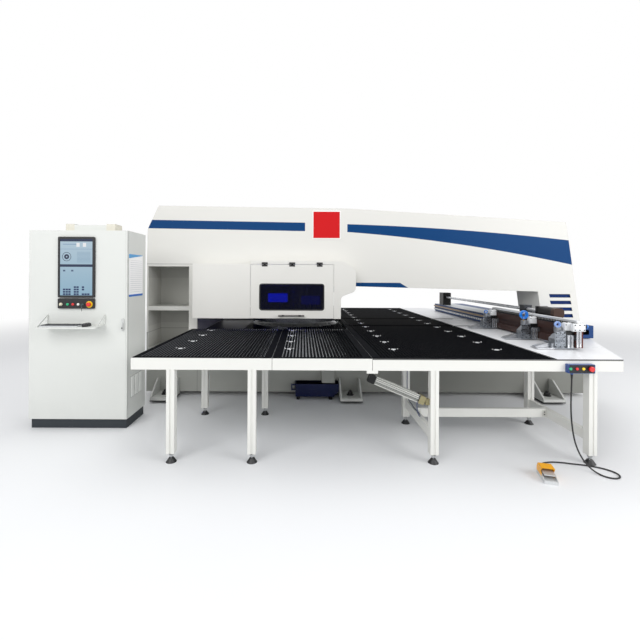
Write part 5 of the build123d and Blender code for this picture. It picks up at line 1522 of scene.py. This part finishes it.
class PRESS_OT_stage(bpy.types.Operator):
    """Pale floor, soft light and the camera"""

    bl_idname = "press.stage"
    bl_label = "Studio"

    def execute(self, context):
        self.floor()
        self.light()
        self.camera()
        context.scene.view_settings.view_transform = "Standard"
        return {"FINISHED"}

    def floor(self):
        """Pale floor that fades into the white surround far away."""
        radius = bpy.context.scene.stage_sizes.floor_radius
        clear_selection()
        bpy.ops.mesh.primitive_circle_add(vertices=96, radius=radius, fill_type="NGON", location=(0, 0, 0))
        ground = settle(bpy.context.object, "studio_floor")
        finish = Finish("floor_pale", 0.6)
        away = (finish.x * finish.x + finish.y * finish.y) ** 0.5
        tone = finish.mix(finish.cloud(2.5, 2), shade(233, 234, 236), shade(240, 241, 242))
        white = finish.node("ShaderNodeEmission", sockets={"Color": (1, 1, 1, 1), "Strength": 1.0})
        rays = [
            finish.node("ShaderNodeLightPath", output=kind)
            for kind in ("Is Camera Ray", "Is Glossy Ray", "Is Transmission Ray")
        ]
        share = away.rise(6.0, 14.0) * (rays[0] | rays[1] | rays[2])
        blend = finish.node("ShaderNodeMixShader", sockets={0: share})
        finish.tree.links.new(finish.shader.outputs[0], blend.socket.node.inputs[1])
        finish.tree.links.new(white.socket, blend.socket.node.inputs[2])
        finish.tree.links.new(blend.socket, finish.tree.nodes["Material Output"].inputs["Surface"])
        ground.data.materials.append(finish.done(base_color=tone))

    def light(self):
        """A white surround, a broad key light and a fill light in front, and a weaker one overhead."""
        world = bpy.context.scene.world or bpy.data.worlds.new("studio")
        bpy.context.scene.world = world
        world.use_nodes = True
        tree = world.node_tree
        sky = tree.nodes["Background"]
        sky.inputs["Color"].default_value = (0.98, 0.985, 1.0, 1)
        sky.inputs["Strength"].default_value = 0.60
        bright = tree.nodes.new("ShaderNodeBackground")
        bright.inputs["Color"].default_value = (1, 1, 1, 1)
        seen = tree.nodes.new("ShaderNodeLightPath")
        blend = tree.nodes.new("ShaderNodeMixShader")
        share = seen.outputs["Is Camera Ray"]
        for kind in ("Is Glossy Ray", "Is Transmission Ray"):
            either = tree.nodes.new("ShaderNodeMath")
            either.operation = "MAXIMUM"
            tree.links.new(share, either.inputs[0])
            tree.links.new(seen.outputs[kind], either.inputs[1])
            share = either.outputs[0]
        tree.links.new(share, blend.inputs[0])
        tree.links.new(sky.outputs[0], blend.inputs[1])
        tree.links.new(bright.outputs[0], blend.inputs[2])
        tree.links.new(blend.outputs[0], tree.nodes["World Output"].inputs["Surface"])
        lamps = {
            "key_light": ((-4.0, -8.5, 6.0), 6.0, 370),
            "fill_light": ((6.5, -6.5, 4.0), 5.0, 285),
            "top_light": ((0.5, 0.5, 8.0), 7.0, 190),
        }
        for name, (place, side, power) in lamps.items():
            clear_selection()
            aim = Vector((0, 0, 0.9)) - Vector(place)
            turn = aim.to_track_quat("-Z", "Y").to_euler()
            bpy.ops.object.light_add(type="AREA", location=place, rotation=turn)
            lamp = bpy.context.object
            lamp.name = name
            lamp.data.size = side
            lamp.data.energy = power

    def camera(self):
        """The photograph's viewpoint: straight on, with its centre left of and above the middle."""
        stage = bpy.context.scene.stage_sizes
        place = (TURRET_X + stage.camera_right, TABLE_LOW.y - stage.camera_back, stage.camera_height)
        photo_width = 640
        clear_selection()
        bpy.ops.object.camera_add(location=place, rotation=(math.pi / 2, 0, 0))
        camera = bpy.context.object
        camera.name = "photo_camera"
        roll = math.radians(0.27)
        camera.matrix_world = camera.matrix_world @ Matrix.Rotation(roll, 4, "Z")
        camera.data.sensor_width = 36
        camera.data.lens = 21.1
        camera.data.shift_x = 17 / photo_width
        camera.data.shift_y = -43.5 / photo_width
        camera.data.clip_end = 200
        bpy.context.scene.camera = camera


PARTS = (
    PRESS_OT_frame,
    PRESS_OT_housing,
    PRESS_OT_turrets,
    PRESS_OT_tables,
    PRESS_OT_gantry,
    PRESS_OT_cabinet,
    PRESS_OT_controls,
    PRESS_OT_cords,
    PRESS_OT_stage,
)


class PRESS_PT_sidebar(bpy.types.Panel):
    """Lists the pieces of the machine"""

    bl_label = "Punch Press"
    bl_idname = "PRESS_PT_sidebar"
    bl_space_type = "VIEW_3D"
    bl_region_type = "UI"
    bl_category = "Punch Press"

    def draw(self, context):
        for part in PARTS:
            self.layout.operator(part.bl_idname)


CLASSES = (PressColours, PressSizes, StageSizes, *PARTS, PRESS_PT_sidebar)


def register():
    for item in CLASSES:
        bpy.utils.register_class(item)
    bpy.types.Scene.press_colours = PointerProperty(type=PressColours)
    bpy.types.Scene.press_sizes = PointerProperty(type=PressSizes)
    bpy.types.Scene.stage_sizes = PointerProperty(type=StageSizes)


def unregister():
    del bpy.types.Scene.stage_sizes
    del bpy.types.Scene.press_sizes
    del bpy.types.Scene.press_colours
    for item in reversed(CLASSES):
        bpy.utils.unregister_class(item)


def main():
    register()
    bpy.ops.press.frame()
    bpy.ops.press.housing()
    bpy.ops.press.turrets()
    bpy.ops.press.tables()
    bpy.ops.press.gantry()
    bpy.ops.press.cabinet()
    bpy.ops.press.controls()
    bpy.ops.press.cords()
    bpy.ops.press.stage()


if __name__ == "__main__":
    main()
